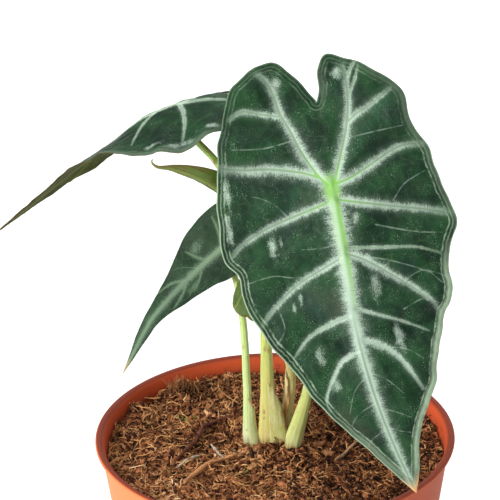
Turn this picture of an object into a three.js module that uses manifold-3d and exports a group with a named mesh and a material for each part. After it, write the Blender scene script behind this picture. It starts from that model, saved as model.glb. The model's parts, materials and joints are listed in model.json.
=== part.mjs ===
// Potted alocasia: a young jewel alocasia with four leaves in a thin plastic nursery pot.
// Millimetres, +Z up. The origin is the middle of the pot's underside; -Y is the front.
import * as THREE from "three";
import { mergeVertices } from "three/addons/utils/BufferGeometryUtils.js";
import Module from "manifold-3d";

const wasm = await Module();
wasm.setup();

// Clearance kept between pieces that touch.
const gap = 0.3;

// Pot
const potHeight = 90;
const lipRadius = 52.5;
const lipWidth = 1.5;
const lipHeight = 1.4;
const baseRadius = 38.5;
const baseChamfer = 1.2;
const wallThickness = 0.9;
const floorThickness = 1.4;
const drainHoleCount = 8;
const drainHoleRadius = 3.4;
const drainHoleInset = 12.5;
const potSides = 96;

// Potting mix
const mixDrop = 6;
const mixRings = 17;
const mixSides = 66;
const mixDetail = 0.05;

// Rhizome, buried under the crown of the plant
const crownDrop = 10;
const crownRadius = 11.5;
const rhizomeLength = 34;
const crownCentre = [0, 2.6];

// Leaf blades
const bladeThickness = 1.0;
const creaseRadius = 2.6;
const marginSteps = 64;
const bladeRings = 4;

// Stalks, twigs and strips
const stalkSides = 14;
const stalkSteps = 26;
const litterLift = 0.45;

// ---------------------------------------------------------------- helpers

const vector = (p) => new THREE.Vector3(p[0], p[1], p[2]);

function weld(geometry) {
  geometry.deleteAttribute("normal");
  geometry.deleteAttribute("uv");
  return mergeVertices(geometry, 1e-4);
}

function solidOf(geometry) {
  const welded = weld(geometry.clone());
  return new wasm.Manifold(new wasm.Mesh({
    numProp: 3,
    vertProperties: new Float32Array(welded.attributes.position.array),
    triVerts: new Uint32Array(welded.index.array),
  }));
}

function geometryOf(solid) {
  const mesh = solid.getMesh();
  const geometry = new THREE.BufferGeometry();
  geometry.setAttribute("position", new THREE.BufferAttribute(mesh.vertProperties, 3));
  geometry.setIndex(new THREE.BufferAttribute(mesh.triVerts, 1));
  return geometry;
}

const group = new THREE.Group();

function addPart(name, geometry, colour, roughness) {
  const shape = geometry.index && !geometry.attributes.uv ? geometry : weld(geometry);
  shape.computeVertexNormals();
  const material = new THREE.MeshStandardMaterial({ color: colour, roughness, metalness: 0 });
  const mesh = new THREE.Mesh(shape, material);
  mesh.name = name;
  group.add(mesh);
}

// A number from a list of evenly spread values, at a fraction from 0 to 1.
function valueAt(values, fraction) {
  const place = THREE.MathUtils.clamp(fraction, 0, 1) * (values.length - 1);
  const first = Math.min(Math.floor(place), values.length - 2);
  return THREE.MathUtils.lerp(values[first], values[first + 1], place - first);
}

// A closed round bar along a curve. Its half-widths across and through change along the way;
// "wide" is the direction in which the section is widest.
function bar(points, halfWide, halfThin, wide = [1, 0, 0], grow = 0) {
  const curve = new THREE.CatmullRomCurve3(points.map(vector), false, "centripetal");
  const geometry = new THREE.CylinderGeometry(1, 1, 1, stalkSides, stalkSteps);
  const position = geometry.attributes.position;
  for (let i = 0; i < position.count; i++) {
    const fraction = THREE.MathUtils.clamp(position.getY(i) + 0.5, 0, 1);
    const centre = curve.getPointAt(fraction);
    const forward = curve.getTangentAt(fraction);
    const thinWay = new THREE.Vector3().crossVectors(vector(wide), forward).normalize();
    const wideWay = new THREE.Vector3().crossVectors(forward, thinWay);
    centre.addScaledVector(wideWay, position.getX(i) * (valueAt(halfWide, fraction) + grow));
    centre.addScaledVector(thinWay, position.getZ(i) * (valueAt(halfThin, fraction) + grow));
    position.setXYZ(i, centre.x, centre.y, centre.z);
  }
  return geometry;
}

// ---------------------------------------------------------------- pot

const lipInnerRadius = lipRadius - lipWidth - wallThickness;
const lipUnder = potHeight - lipHeight;
const innerRadiusAt = (z) => THREE.MathUtils.mapLinear(
  z, floorThickness, potHeight, baseRadius - wallThickness, lipInnerRadius);

function potGeometry() {
  const bead = lipHeight / 4;
  const profile = [
    [0, 0],
    [baseRadius - baseChamfer, 0],
    [baseRadius, baseChamfer],
    [lipRadius - lipWidth, lipUnder],
    [lipRadius - bead, lipUnder],
    [lipRadius, lipUnder + bead],
    [lipRadius, potHeight - bead],
    [lipRadius - bead, potHeight],
    [lipInnerRadius + bead, potHeight],
    [lipInnerRadius, potHeight - bead],
    [baseRadius - wallThickness, floorThickness],
    [0, floorThickness],
  ].map(([r, z]) => new THREE.Vector2(r, z));
  let pot = solidOf(new THREE.LatheGeometry(profile, potSides).rotateX(Math.PI / 2));
  for (let hole = 0; hole < drainHoleCount; hole++) {
    const angle = (hole + 0.5) * 2 * Math.PI / drainHoleCount;
    const ring = baseRadius - drainHoleInset;
    const cutter = new THREE.CylinderGeometry(drainHoleRadius, drainHoleRadius, 4 * floorThickness, 24);
    cutter.rotateX(Math.PI / 2);
    cutter.translate(ring * Math.cos(angle), ring * Math.sin(angle), 0);
    pot = pot.subtract(solidOf(cutter));
  }
  return geometryOf(pot);
}
addPart("pot", potGeometry(), 0xc8643c, 0.45);

// ---------------------------------------------------------------- potting mix surface

const mixLevel = potHeight - mixDrop;

// Where things lie on the mix is drawn for a mix of this radius, and spreads with the real one.
const drawnMixRadius = 49;
const mixRadius = innerRadiusAt(mixLevel) - gap;
const spread = mixRadius / drawnMixRadius;

// Heaps of mix: place, height and width.
const heaps = [
  { at: [-33, -26], height: 2.6, width: 13 },
  { at: [-29, 32], height: 3.2, width: 5 },
  { at: [-40, 8], height: 1.6, width: 9 },
  { at: [0, 3], height: 1.2, width: 12 },
  { at: [30, -28], height: 1.4, width: 12 },
];

function mixHeight(x, y) {
  let height = mixLevel + 0.35 * Math.sin(x / 5.3 + 1) * Math.cos(y / 6.1) + 0.2 * Math.sin((x + y) / 3.1);
  for (const heap of heaps) {
    const far = Math.hypot(x - heap.at[0] * spread, y - heap.at[1] * spread) / heap.width;
    height += heap.height * Math.exp(-far * far);
  }
  return height;
}

// ---------------------------------------------------------------- leaf blades

// A blade is drawn flat, as margins of [along, across] points measured from where the stalk joins:
// along runs down the midrib to the tip, across to the right of it. It is then laid over its
// midrib, whose stations give a place above the mix, the way the upper side faces, and the angle
// by which each half lifts towards the upper side.
const blades = {
  front: {
    stations: [
      { at: [12.2, 3, 123], up: [-0.02, -0.9, 0.42], lift: 4 },
      { at: [14.4, -5.4, 106], up: [-0.02, -0.91, 0.4], lift: 2 },
      { at: [16.4, -13.4, 88.4], up: [0, -0.93, 0.36], lift: -5 },
      { at: [19.6, -22.2, 70.8], up: [0.02, -0.93, 0.36], lift: -8 },
      { at: [22.2, -29.6, 54.8], up: [0.02, -0.93, 0.34], lift: -8 },
      { at: [27, -36, 37.6], up: [0.02, -0.96, 0.28], lift: -7 },
      { at: [33, -40, 22], up: [0.02, -0.98, 0.2], lift: -6 },
      { at: [39, -41.8, 8.6], up: [0, -0.99, 0.14], lift: -4 },
    ],
    joinsAt: [16.4, -13.4, 88.4],
    left: [[-23.5, -1.5], [-27, -4], [-33.5, -8], [-36.5, -13], [-34, -20], [-27, -25.5], [-14, -30],
      [0, -31.5], [13, -33], [20, -30], [30, -28], [41, -22.5], [57, -14.5], [72, -7], [82, -2.6],
      [88.3, 0]],
    right: [[88.3, 0], [82, 3.8], [72, 8.4], [60, 17], [44, 23.8], [33, 27.8], [22, 29.4], [14, 32.8],
      [5, 30], [-8, 28], [-16, 23.5], [-25, 21.3], [-30, 16], [-34.5, 9.5], [-36.5, 3], [-33, 0.5],
      [-28, -0.2], [-23.5, -1.5]],
    ripple: { height: 0.9, length: 17, start: 0.6 },
    colour: 0x25472f,
  },
  left: {
    stations: [
      { at: [-6.5, 16, 106.2], up: [0.05, 0.1, 0.99], lift: -16 },
      { at: [-16, 15.5, 105.6], up: [0, 0.11, 0.99], lift: -18 },
      { at: [-23.6, 15, 103.9], up: [-0.2, 0.08, 0.97], lift: -23 },
      { at: [-35.6, 14.6, 99.2], up: [-0.3, 0.08, 0.93], lift: -21 },
      { at: [-46.4, 14, 91], up: [-0.42, 0.34, 0.8], lift: -9 },
      { at: [-55.6, 13.4, 84.4], up: [-0.42, 0.44, 0.76], lift: -6 },
      { at: [-66.4, 12.8, 75.8], up: [-0.45, 0.42, 0.76], lift: -4 },
      { at: [-82, 12, 63.4], up: [-0.45, 0.4, 0.76], lift: -4 },
    ],
    joinsAt: [-23.6, 15, 103.9],
    left: [[-9, 0], [-13.5, -3], [-18, -7.5], [-16.5, -13], [-9, -17.5], [2, -19], [14, -17.5], [28, -13],
      [42, -7.5], [54, -4.2], [63, -1.8], [69.5, 0]],
    right: [[69.5, 0], [63, 1.8], [54, 4.2], [42, 7], [28, 14.2], [14, 20], [2, 21.5], [-9, 19], [-16.5, 14],
      [-18, 8], [-13.5, 3], [-9, 0]],
    ripple: { height: 0.8, length: 14, start: 2 },
    colour: 0x2b4a33,
  },
  middle: {
    stations: [
      { at: [-4.4, 16.4, 71.6], up: [-0.25, -0.85, 0.45], lift: 6 },
      { at: [-9.6, 15.2, 65.4], up: [-0.25, -0.85, 0.45], lift: 4 },
      { at: [-14.6, 14, 59.1], up: [-0.25, -0.85, 0.45], lift: 0 },
      { at: [-20.8, 12.5, 53.8], up: [-0.25, -0.85, 0.45], lift: -4 },
      { at: [-30.2, 10.2, 44.6], up: [-0.3, -0.85, 0.4], lift: -8 },
      { at: [-35.6, 8.6, 38.4], up: [-0.35, -0.85, 0.4], lift: -8 },
      { at: [-43.6, 6, 23.8], up: [-0.3, -0.9, 0.3], lift: -4 },
    ],
    joinsAt: [-14.6, 14, 59.1],
    left: [[-9, -0.5], [-12.5, -2.5], [-14.5, -6], [-9.5, -9], [-3, -11], [4, -10.6], [10, -8.2], [17, -5.6],
      [27, -3], [37, -1.3], [46.3, 0]],
    right: [[46.3, 0], [37, 1.3], [28, 2.4], [18, 4.8], [10, 6.8], [1, 8.6], [-8, 8.6], [-14, 6], [-12.5, 2],
      [-9, -0.5]],
    ripple: { height: 0.5, length: 11, start: 1 },
    colour: 0x4a6b52,
  },
  young: {
    stations: [
      { at: [-8.6, -4, 41.4], up: [0.45, 0.85, 0.1], lift: 24 },
      { at: [-6.4, -3.8, 49.4], up: [0.45, 0.88, 0], lift: 42 },
      { at: [-4.4, -3.6, 58], up: [0.45, 0.88, 0], lift: 60 },
      { at: [-6, -4, 70], up: [0.4, 0.88, 0.1], lift: 66 },
      { at: [-11.4, -4.4, 81.2], up: [0.35, 0.85, 0.35], lift: 66 },
      { at: [-19.4, -4.6, 87.8], up: [0.1, 0.85, 0.45], lift: 60 },
      { at: [-27, -4.8, 91.4], up: [0, 0.85, 0.5], lift: 50 },
      { at: [-32.8, -5, 92.6], up: [0.1, 0.85, 0.5], lift: 30 },
      { at: [-34, -5, 94.2], up: [0.4, 0.85, 0.3], lift: 20 },
    ],
    joinsAt: [-4.4, -3.6, 58],
    left: [[-12, 0], [-14.6, -1], [-17, -3.4], [-15.4, -6.8], [-9, -8.8], [0, -9.6], [12, -8.6], [24, -6.6],
      [34, -4.2], [44, -1.4], [51, 0]],
    right: [[51, 0], [44, 1.4], [34, 4.2], [24, 6.6], [12, 8.6], [0, 9.4], [-8, 8.6], [-13, 6.6], [-14.4, 4],
      [-13.4, 1.6], [-12, 0]],
    ripple: { height: 0, length: 12, start: 0 },
    colour: 0x6e8232,
  },
};

const onMix = ([x, y, z]) => new THREE.Vector3(x, y, z + mixLevel);

// Gives each blade the curves that its sheet is laid on.
for (const blade of Object.values(blades)) {
  const places = blade.stations.map((station) => onMix(station.at));
  blade.midrib = new THREE.CatmullRomCurve3(places, false, "centripetal");
  blade.facing = blade.stations.map((station) => vector(station.up).normalize());
  blade.lengths = blade.midrib.getLengths(400);
  blade.total = blade.lengths[400];
  let nearest = Infinity;
  for (let i = 0; i <= 400; i++) {
    const away = blade.midrib.getPoint(i / 400).distanceTo(onMix(blade.joinsAt));
    if (away < nearest) {
      nearest = away;
      blade.joinLength = blade.lengths[i];
    }
  }
}

// Runs outwards from the crease: how far a point lies sideways and upwards, and its slope.
function foldedHalf(across, lift) {
  const steps = 12;
  const step = Math.abs(across) / steps;
  let sideways = 0;
  let upwards = 0;
  let slope = 0;
  for (let i = 0; i < steps; i++) {
    slope = lift * Math.tanh((i + 0.5) * step / creaseRadius);
    sideways += Math.cos(slope) * step;
    upwards += Math.sin(slope) * step;
  }
  return { sideways: Math.sign(across) * sideways, upwards, slope: Math.sign(across) * slope };
}

// A place on a blade, raised above the middle of the sheet by "raise".
function bladePlace(blade, along, across, raise) {
  const length = THREE.MathUtils.clamp(blade.joinLength + along, 0, blade.total);
  const fraction = length / blade.total;
  const forward = blade.midrib.getTangentAt(fraction);
  const centre = blade.midrib.getPointAt(fraction);
  centre.addScaledVector(forward, blade.joinLength + along - length);
  const station = blade.midrib.getUtoTmapping(fraction) * (blade.facing.length - 1);
  const before = Math.min(Math.floor(station), blade.facing.length - 2);
  const up = blade.facing[before].clone().lerp(blade.facing[before + 1], station - before);
  up.addScaledVector(forward, -up.dot(forward)).normalize();
  const side = new THREE.Vector3().crossVectors(up, forward);
  const lifts = blade.stations.map((each) => each.lift);
  const lift = THREE.MathUtils.degToRad(valueAt(lifts, station / (lifts.length - 1)));
  const half = foldedHalf(across, lift);
  const { height, length: waveLength, start } = blade.ripple;
  const edge = Math.min(Math.abs(across) / 20, 1);
  const wave = height * edge * edge * Math.sin(along * 2 * Math.PI / waveLength + start + Math.sign(across));
  centre.addScaledVector(side, half.sideways - Math.sin(half.slope) * raise);
  centre.addScaledVector(up, half.upwards + wave + Math.cos(half.slope) * raise);
  return centre;
}

function bladeGeometry(blade) {
  const side = (points) => new THREE.SplineCurve(points.map(([a, b]) => new THREE.Vector2(a, b)));
  const margin = [
    ...side(blade.left).getSpacedPoints(marginSteps / 2).slice(0, -1),
    ...side(blade.right).getSpacedPoints(marginSteps / 2),
  ];
  const geometry = new THREE.SphereGeometry(1, marginSteps, 2 * bladeRings);
  const position = geometry.attributes.position;
  for (let ring = 0; ring <= 2 * bladeRings; ring++) {
    const turn = ring * Math.PI / (2 * bladeRings);
    for (let step = 0; step <= marginSteps; step++) {
      const point = margin[step];
      const outwards = ring === 0 || ring === 2 * bladeRings ? 0 : Math.sin(turn);
      const raise = Math.cos(turn) * bladeThickness / 2;
      const place = bladePlace(blade, point.x * outwards, point.y * outwards, raise);
      position.setXYZ(ring * (marginSteps + 1) + step, place.x, place.y, place.z);
    }
  }
  return geometry;
}

for (const [name, blade] of Object.entries(blades)) {
  addPart(`${name}_leaf_blade`, bladeGeometry(blade), blade.colour, 0.5);
}

// ---------------------------------------------------------------- leaf stalks

// The last points of a stalk, which turns to meet the underside of its blade squarely.
function neckUnder(blade, reach) {
  return [[reach, reach * 1.2], [reach * 0.45, 0], [0, 0]].map(([below, sink]) => {
    const place = bladePlace(blade, 0, 0, -bladeThickness / 2 - gap - below);
    place.z -= sink + mixLevel;
    return place.toArray();
  });
}

// Where the rhizome's crown lies, and where the stalks start.
const crownTop = mixLevel - crownDrop;
const stalkFoot = crownTop + gap - mixLevel;

const stalks = {
  front: {
    points: [[5.6, -1.4, stalkFoot], [5, -1, 0], [9.5, -1.4, 19.7], [13, -3.4, 41], [16, -6.6, 66],
      ...neckUnder(blades.front, 4.4)],
    halfWide: [2, 2.6, 1.5, 1.4, 1.35, 1.3, 1.3, 1.4],
    halfThin: [1.8, 2, 1.35, 1.3, 1.25, 1.2, 1.2, 1.3],
    colour: 0xc3d68c,
  },
  left: {
    points: [[-0.9, 3, stalkFoot], [-1.5, 2.6, 0], [-2, 2.8, 16], [-2.2, 3, 32], [-2.8, 5, 51],
      [-7, 7.6, 71], [-15.6, 12.2, 86.2], ...neckUnder(blades.left, 4)],
    halfWide: [2.2, 3.2, 2.1, 1.7, 1.5, 1.3, 1.1, 1, 1],
    halfThin: [1.8, 2, 1.6, 1.4, 1.3, 1.2, 1, 0.9, 0.9],
    colour: 0xc4cf8e,
  },
  middle: {
    points: [[-6.2, 2.8, stalkFoot], [-7.4, 2.8, 0], [-8, 4.4, 19.6], [-8.9, 8.4, 38.4],
      [-10.9, 13.4, 49.2], ...neckUnder(blades.middle, 3.4)],
    halfWide: [1.6, 1.9, 1.25, 1.1, 1.05, 0.9, 0.8],
    halfThin: [1.6, 1.7, 1.15, 1, 1, 0.8, 0.7],
    colour: 0xd2dca0,
  },
  young: {
    points: [[3, 7.2, stalkFoot], [3, 6.6, 0], [4.8, 5, 20], [4.2, -1.5, 30.4], [0.6, -8, 40],
      ...neckUnder(blades.young, 3)],
    halfWide: [1.5, 1.7, 1.5, 1.3, 1.1, 0.9, 0.8],
    halfThin: [1.5, 1.6, 1.4, 1.2, 1, 0.8, 0.7],
    colour: 0xc8cf90,
  },
};

function stalkGeometry(stalk, grow) {
  const geometry = bar(stalk.points, stalk.halfWide, stalk.halfThin, [1, 0, 0.2], grow);
  return geometry.translate(0, 0, mixLevel);
}

for (const [name, stalk] of Object.entries(stalks)) {
  addPart(`${name}_leaf_petiole`, stalkGeometry(stalk, 0), stalk.colour, 0.55);
}

// Dry papery sheath edges that stand against two of the stalks.
const sheathHalfThin = 0.25;
const sheathHalfWide = 1.1;

function sheathPoints(stalk, from, to, away) {
  const curve = new THREE.CatmullRomCurve3(stalk.points.map(vector), false, "centripetal");
  const points = [];
  for (let step = 0; step <= 5; step++) {
    const fraction = THREE.MathUtils.lerp(from, to, step / 5);
    const reach = valueAt(stalk.halfWide, fraction) + gap + sheathHalfThin + 0.15;
    points.push(curve.getPointAt(fraction).addScaledVector(vector(away).normalize(), reach).toArray());
  }
  return points;
}

const sheaths = [
  { name: "dry_sheath_middle", stalk: "middle", from: 0.18, to: 0.42, away: [0.55, -0.84, 0] },
  { name: "dry_sheath_young", stalk: "young", from: 0.28, to: 0.52, away: [-0.75, -0.66, 0] },
];
for (const sheath of sheaths) {
  const points = sheathPoints(stalks[sheath.stalk], sheath.from, sheath.to, sheath.away);
  const flatWay = [-sheath.away[1], sheath.away[0], 0];
  const wide = [0.3, 1, 1, 0.8, 0.3].map((share) => share * sheathHalfWide);
  const geometry = bar(points, wide, [sheathHalfThin, sheathHalfThin], flatWay);
  addPart(sheath.name, geometry.translate(0, 0, mixLevel), 0x8a5a30, 0.8);
}

// ---------------------------------------------------------------- rhizome

function rhizomeGeometry(grow) {
  const top = crownTop + grow;
  const bottom = crownTop - rhizomeLength - grow;
  const widths = [0, 0.22, 0.4, 0.62, 0.86, 1, 0.95];
  const profile = widths.map((share, i) => new THREE.Vector2(
    share * crownRadius + (i > 0 ? grow : 0),
    THREE.MathUtils.lerp(bottom, top, [0, 0.02, 0.2, 0.45, 0.7, 0.88, 1][i])));
  profile.push(new THREE.Vector2(0, top));
  const geometry = new THREE.LatheGeometry(profile, 28).rotateX(Math.PI / 2);
  return geometry.translate(crownCentre[0], crownCentre[1], 0);
}
addPart("rhizome", rhizomeGeometry(0), 0x6b4a2f, 0.85);

// ---------------------------------------------------------------- potting mix

function mixGeometry() {
  const floor = floorThickness + gap;
  const edge = (z) => innerRadiusAt(z) - gap - 0.1;
  const profile = [new THREE.Vector2(0, floor), new THREE.Vector2(edge(floor), floor)];
  for (let ring = 0; ring <= mixRings; ring++) {
    profile.push(new THREE.Vector2(edge(mixLevel - 1) * (1 - ring / mixRings), mixLevel));
  }
  const geometry = new THREE.LatheGeometry(profile, mixSides).rotateX(Math.PI / 2);
  const position = geometry.attributes.position;
  for (let i = 0; i < position.count; i++) {
    if (position.getZ(i) > mixLevel - 0.01) {
      position.setZ(i, mixHeight(position.getX(i), position.getY(i)));
    }
  }
  const below = new THREE.BoxGeometry(4 * crownRadius, 4 * crownRadius, 4 * crownDrop);
  below.translate(crownCentre[0], crownCentre[1], mixLevel - crownDrop);
  const feet = Object.values(stalks).map(
    (stalk) => solidOf(stalkGeometry(stalk, gap)).intersect(solidOf(below)));
  const pocket = solidOf(rhizomeGeometry(gap)).add(wasm.Manifold.hull(feet));
  return geometryOf(solidOf(geometry).subtract(pocket).simplify(mixDetail));
}
addPart("potting_mix", mixGeometry(), 0x4a2c18, 0.95);

// ---------------------------------------------------------------- loose pieces on the mix

// A twig, strand or splinter that lies on the mix, through [x, y] points.
function lyingBar(route, halfWide, halfThin) {
  const flat = new THREE.SplineCurve(route.map(([x, y]) => new THREE.Vector2(x * spread, y * spread)));
  const thickest = Math.max(...halfThin);
  const points = flat.getSpacedPoints(10).map(({ x, y }) => {
    let height = mixHeight(x, y);
    for (const [dx, dy] of [[1, 0], [-1, 0], [0, 1], [0, -1]]) {
      height = Math.max(height, mixHeight(x + dx, y + dy));
    }
    return [x, y, height + thickest + litterLift];
  });
  return bar(points, halfWide, halfThin, [0.31, 0.95, 0.05]);
}

const lyingPieces = [
  { name: "bark_twig", route: [[-25.6, -26.6], [-23.6, -20.6], [-20.4, -15], [-15.8, -9.8], [-11.2, -6.8]],
    thick: [0.45, 0.7, 0.7, 0.6, 0.35], colour: 0x7a4a28 },
  { name: "root_strand",
    route: [[-28.2, -8.9], [-25.5, -3.1], [-22.5, 5.1], [-20.7, 12.4], [-16.1, 16.1], [-10.7, 17.3]],
    thick: [0.35, 0.55, 0.6, 0.55, 0.45, 0.3], colour: 0x3a2214 },
  { name: "pale_splinter_long", route: [[-28.2, -13], [-25.4, -9], [-21.8, -5.4]],
    thick: [0.25, 0.45, 0.45, 0.25], colour: 0xd9c7a4 },
  { name: "pale_splinter_short", route: [[-18.8, 1.6], [-17.1, -2.2], [-14.9, -6.8]],
    thick: [0.2, 0.4, 0.4, 0.25], colour: 0xd2bd98 },
  { name: "side_stick", route: [[17.4, -9.6], [20.6, -3.6], [24.6, 3]],
    thick: [0.3, 0.45, 0.4, 0.25], colour: 0x8a6238 },
  { name: "coir_tuft", route: [[-32.6, 29.4], [-29.4, 32], [-25.6, 32.6]],
    thick: [0.3, 1, 1, 0.4], colour: 0x6b4423 },
];
for (const piece of lyingPieces) {
  addPart(piece.name, lyingBar(piece.route, piece.thick, piece.thick), piece.colour, 0.9);
}

const barkChips = [
  { at: [12.8, 0.6], turn: 20, size: [2.2, 1.3, 0.7] },
  { at: [15.6, -4], turn: -35, size: [1.9, 1.2, 0.6] },
  { at: [-6.7, -12.4], turn: 60, size: [1.8, 1.1, 0.6] },
  { at: [34, -6], turn: 10, size: [2.1, 1.4, 0.7] },
];
barkChips.forEach((chip, i) => {
  const [x, y] = chip.at.map((place) => place * spread);
  const around = [[0, 0], [2, 0], [-2, 0], [0, 2], [0, -2]].map(([dx, dy]) => mixHeight(x + dx, y + dy));
  const geometry = new THREE.DodecahedronGeometry(1, 0);
  geometry.scale(...chip.size);
  geometry.rotateZ(THREE.MathUtils.degToRad(chip.turn));
  geometry.translate(x, y, Math.max(...around) + chip.size[2] + litterLift);
  addPart(`bark_chip_${i + 1}`, geometry, 0x80542c, 0.9);
});

export default group;
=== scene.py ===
import json
import math
import random
from functools import partial

import bpy
import numpy as np
from mathutils import Matrix, Vector, noise
from mathutils.geometry import delaunay_2d_cdt

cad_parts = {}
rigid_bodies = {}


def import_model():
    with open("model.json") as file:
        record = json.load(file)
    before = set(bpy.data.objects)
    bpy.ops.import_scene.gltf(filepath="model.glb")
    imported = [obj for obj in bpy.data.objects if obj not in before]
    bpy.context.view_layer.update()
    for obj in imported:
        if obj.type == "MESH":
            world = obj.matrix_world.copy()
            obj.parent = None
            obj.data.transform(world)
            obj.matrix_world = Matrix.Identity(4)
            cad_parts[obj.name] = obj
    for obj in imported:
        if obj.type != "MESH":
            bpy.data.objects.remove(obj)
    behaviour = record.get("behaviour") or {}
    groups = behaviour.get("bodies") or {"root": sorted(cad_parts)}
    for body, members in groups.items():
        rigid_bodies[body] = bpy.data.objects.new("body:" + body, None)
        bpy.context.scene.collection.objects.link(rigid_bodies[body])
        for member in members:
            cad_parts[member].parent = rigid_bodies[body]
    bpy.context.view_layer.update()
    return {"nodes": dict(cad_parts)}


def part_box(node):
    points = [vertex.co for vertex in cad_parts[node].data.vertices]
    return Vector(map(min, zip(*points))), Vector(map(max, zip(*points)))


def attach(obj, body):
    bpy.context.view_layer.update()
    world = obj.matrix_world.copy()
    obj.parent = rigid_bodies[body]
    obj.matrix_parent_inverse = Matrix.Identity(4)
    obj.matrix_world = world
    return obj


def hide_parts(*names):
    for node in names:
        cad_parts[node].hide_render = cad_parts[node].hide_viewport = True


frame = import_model()
mm = 0.001
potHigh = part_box("pot")[1]
potHeight = potHigh.z
lipRadius = potHigh.x
mixDrop = 6 * mm
mixLevel = potHeight - mixDrop  # the plant's own heights are measured from here

# Small helpers for meshes

def meshObject(name, points, faces, smooth=True):
    mesh = bpy.data.meshes.new(name)
    mesh.from_pydata([tuple(point) for point in points], [], [tuple(face) for face in faces])
    mesh.update()
    mesh.polygons.foreach_set("use_smooth", [smooth] * len(mesh.polygons))
    made = bpy.data.objects.new(name, mesh)
    bpy.context.scene.collection.objects.link(made)
    return made


def addNumbers(made, name, values):
    layer = made.data.attributes.new(name, "FLOAT", "POINT")
    layer.data.foreach_set("value", np.asarray(values, dtype=np.float32))


def addFlatMap(made, u, v):
    layer = made.data.uv_layers.new(name="flat")
    corners = np.empty(len(made.data.loops), dtype=np.int32)
    made.data.loops.foreach_get("vertex_index", corners)
    pairs = np.stack([np.asarray(u)[corners], np.asarray(v)[corners]], axis=1)
    layer.data.foreach_set("uv", pairs.astype(np.float32).ravel())


def finishPiece(made, slot, node, *materials, sides=None):
    made.data.materials.clear()
    for material in materials:
        made.data.materials.append(material)
    if sides is not None:                       # which material each face takes
        made.data.polygons.foreach_set("material_index", sides)
    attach(made, "root")
    if node:
        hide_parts(node)
    triangles = sum(len(face.vertices) - 2 for face in made.data.polygons)
    print(f"{made.name}: {triangles} triangles")


# From millimetres above the mix to metres above the ground.
def onMix(points):
    return (np.asarray(points) + (0, 0, mixLevel / mm)) * mm


# Squares between rings of points that follow each other, the first of which begins at "start".
def ringFaces(rings, sides, start=0):
    faces = []
    for low in range(start, start + (rings - 1) * sides, sides):
        for i in range(sides):
            j = (i + 1) % sides
            faces.append((low + i, low + j, low + sides + j, low + sides + i))
    return faces


# How far along a line each of its points is.
def runLengths(line):
    return np.concatenate([[0], np.cumsum(np.linalg.norm(np.diff(line, axis=0), axis=1))])


# Rough value noise for whole arrays of points: a few sine waves in fixed random directions.
def waves(points, size, seed, count=9):
    rng = np.random.default_rng(seed)
    total = np.zeros(len(points))
    for _ in range(count):
        direction = rng.normal(size=points.shape[1])
        direction /= np.linalg.norm(direction)
        total += np.sin(points @ direction * 2 * math.pi / (size * rng.uniform(0.7, 1.6)) + rng.uniform(0, 6.3))
    return total / math.sqrt(count)


# A smooth line through points, with spots counted from 0 at the first point.
def alongLine(points, spots):
    points = np.asarray(points, dtype=float)
    ends = np.vstack([2 * points[0] - points[1], points, 2 * points[-1] - points[-2]])
    first = np.clip(np.floor(spots).astype(int), 0, len(points) - 2)
    share = (spots - first)[:, None]
    p0, p1, p2, p3 = (ends[first + i] for i in range(4))
    g0, g1, g2 = (np.sqrt(np.linalg.norm(b - a, axis=1))[:, None] for a, b in ((p0, p1), (p1, p2), (p2, p3)))
    out = ((p1 - p0) / g0 - (p2 - p0) / (g0 + g1) + (p2 - p1) / g1) * g1
    into = ((p2 - p1) / g1 - (p3 - p1) / (g1 + g2) + (p3 - p2) / g2) * g1
    bend = -3 * p1 + 3 * p2 - 2 * out - into
    close = 2 * p1 - 2 * p2 + out + into
    return p1 + share * (out + share * (bend + share * close))


# The same line at evenly spaced places.
def evenLine(points, count):
    spots = np.linspace(0, len(points) - 1, 400)
    line = alongLine(points, spots)
    length = runLengths(line)
    wanted = np.linspace(0, length[-1], count)
    return alongLine(points, np.interp(wanted, length, spots)), wanted


# Small helpers for materials

# The linear colour of three sRGB shades, each from 0 to 255.
def paint(red, green, blue):
    shades = [shade / 255 for shade in (red, green, blue)]
    return tuple(s / 12.92 if s <= 0.04045 else ((s + 0.055) / 1.055) ** 2.4 for s in shades) + (1,)


def add(tree, kind, sockets=None, **settings):
    made = tree.nodes.new(kind)
    for name, value in settings.items():
        setattr(made, name, value)
    for key, value in (sockets or {}).items():
        if isinstance(value, bpy.types.NodeSocket):
            tree.links.new(value, made.inputs[key])
        else:
            made.inputs[key].default_value = value
    return made


# Among the values there is always a socket, which knows its tree.
def treeOf(*values):
    return next(value.id_data for value in values if isinstance(value, bpy.types.NodeSocket))


def maths(operation, *values):
    return add(treeOf(*values), "ShaderNodeMath", dict(enumerate(values)), operation=operation).outputs[0]

plus, minus, times, greatest = (partial(maths, kind) for kind in ("ADD", "SUBTRACT", "MULTIPLY", "MAXIMUM"))


# A noise swung about 0 instead of 0.5.
def swing(noiseValue, amount):
    return times(minus(noiseValue, 0.5), amount)


# A colour is a socket, three sRGB shades, or a linear colour with its alpha.
def blend(share, first, second):
    first, second = (paint(*colour) if isinstance(colour, tuple) and len(colour) == 3 else colour
                     for colour in (first, second))
    return add(treeOf(share, first, second), "ShaderNodeMix", {0: share, 6: first, 7: second},
               data_type="RGBA").outputs[2]


# 1 where value is at "full", 0 where it is at "none".
def fade(value, none, full):
    sockets = {"Value": value, "From Min": none, "From Max": full, "To Min": 0.0, "To Max": 1.0}
    return add(treeOf(value), "ShaderNodeMapRange", sockets, interpolation_type="SMOOTHSTEP").outputs[0]


def reading(tree, name):
    return add(tree, "ShaderNodeAttribute", attribute_name=name).outputs["Fac"]


def objectPlace(tree):
    return add(tree, "ShaderNodeTexCoord").outputs["Object"]


def flatPlace(tree):
    return add(tree, "ShaderNodeUVMap", uv_map="flat").outputs[0]


def vector(tree, *parts):
    return add(tree, "ShaderNodeCombineXYZ", dict(enumerate(parts))).outputs[0]


def part(vectorValue, index):
    return add(treeOf(vectorValue), "ShaderNodeSeparateXYZ", {0: vectorValue}).outputs[index]


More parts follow.
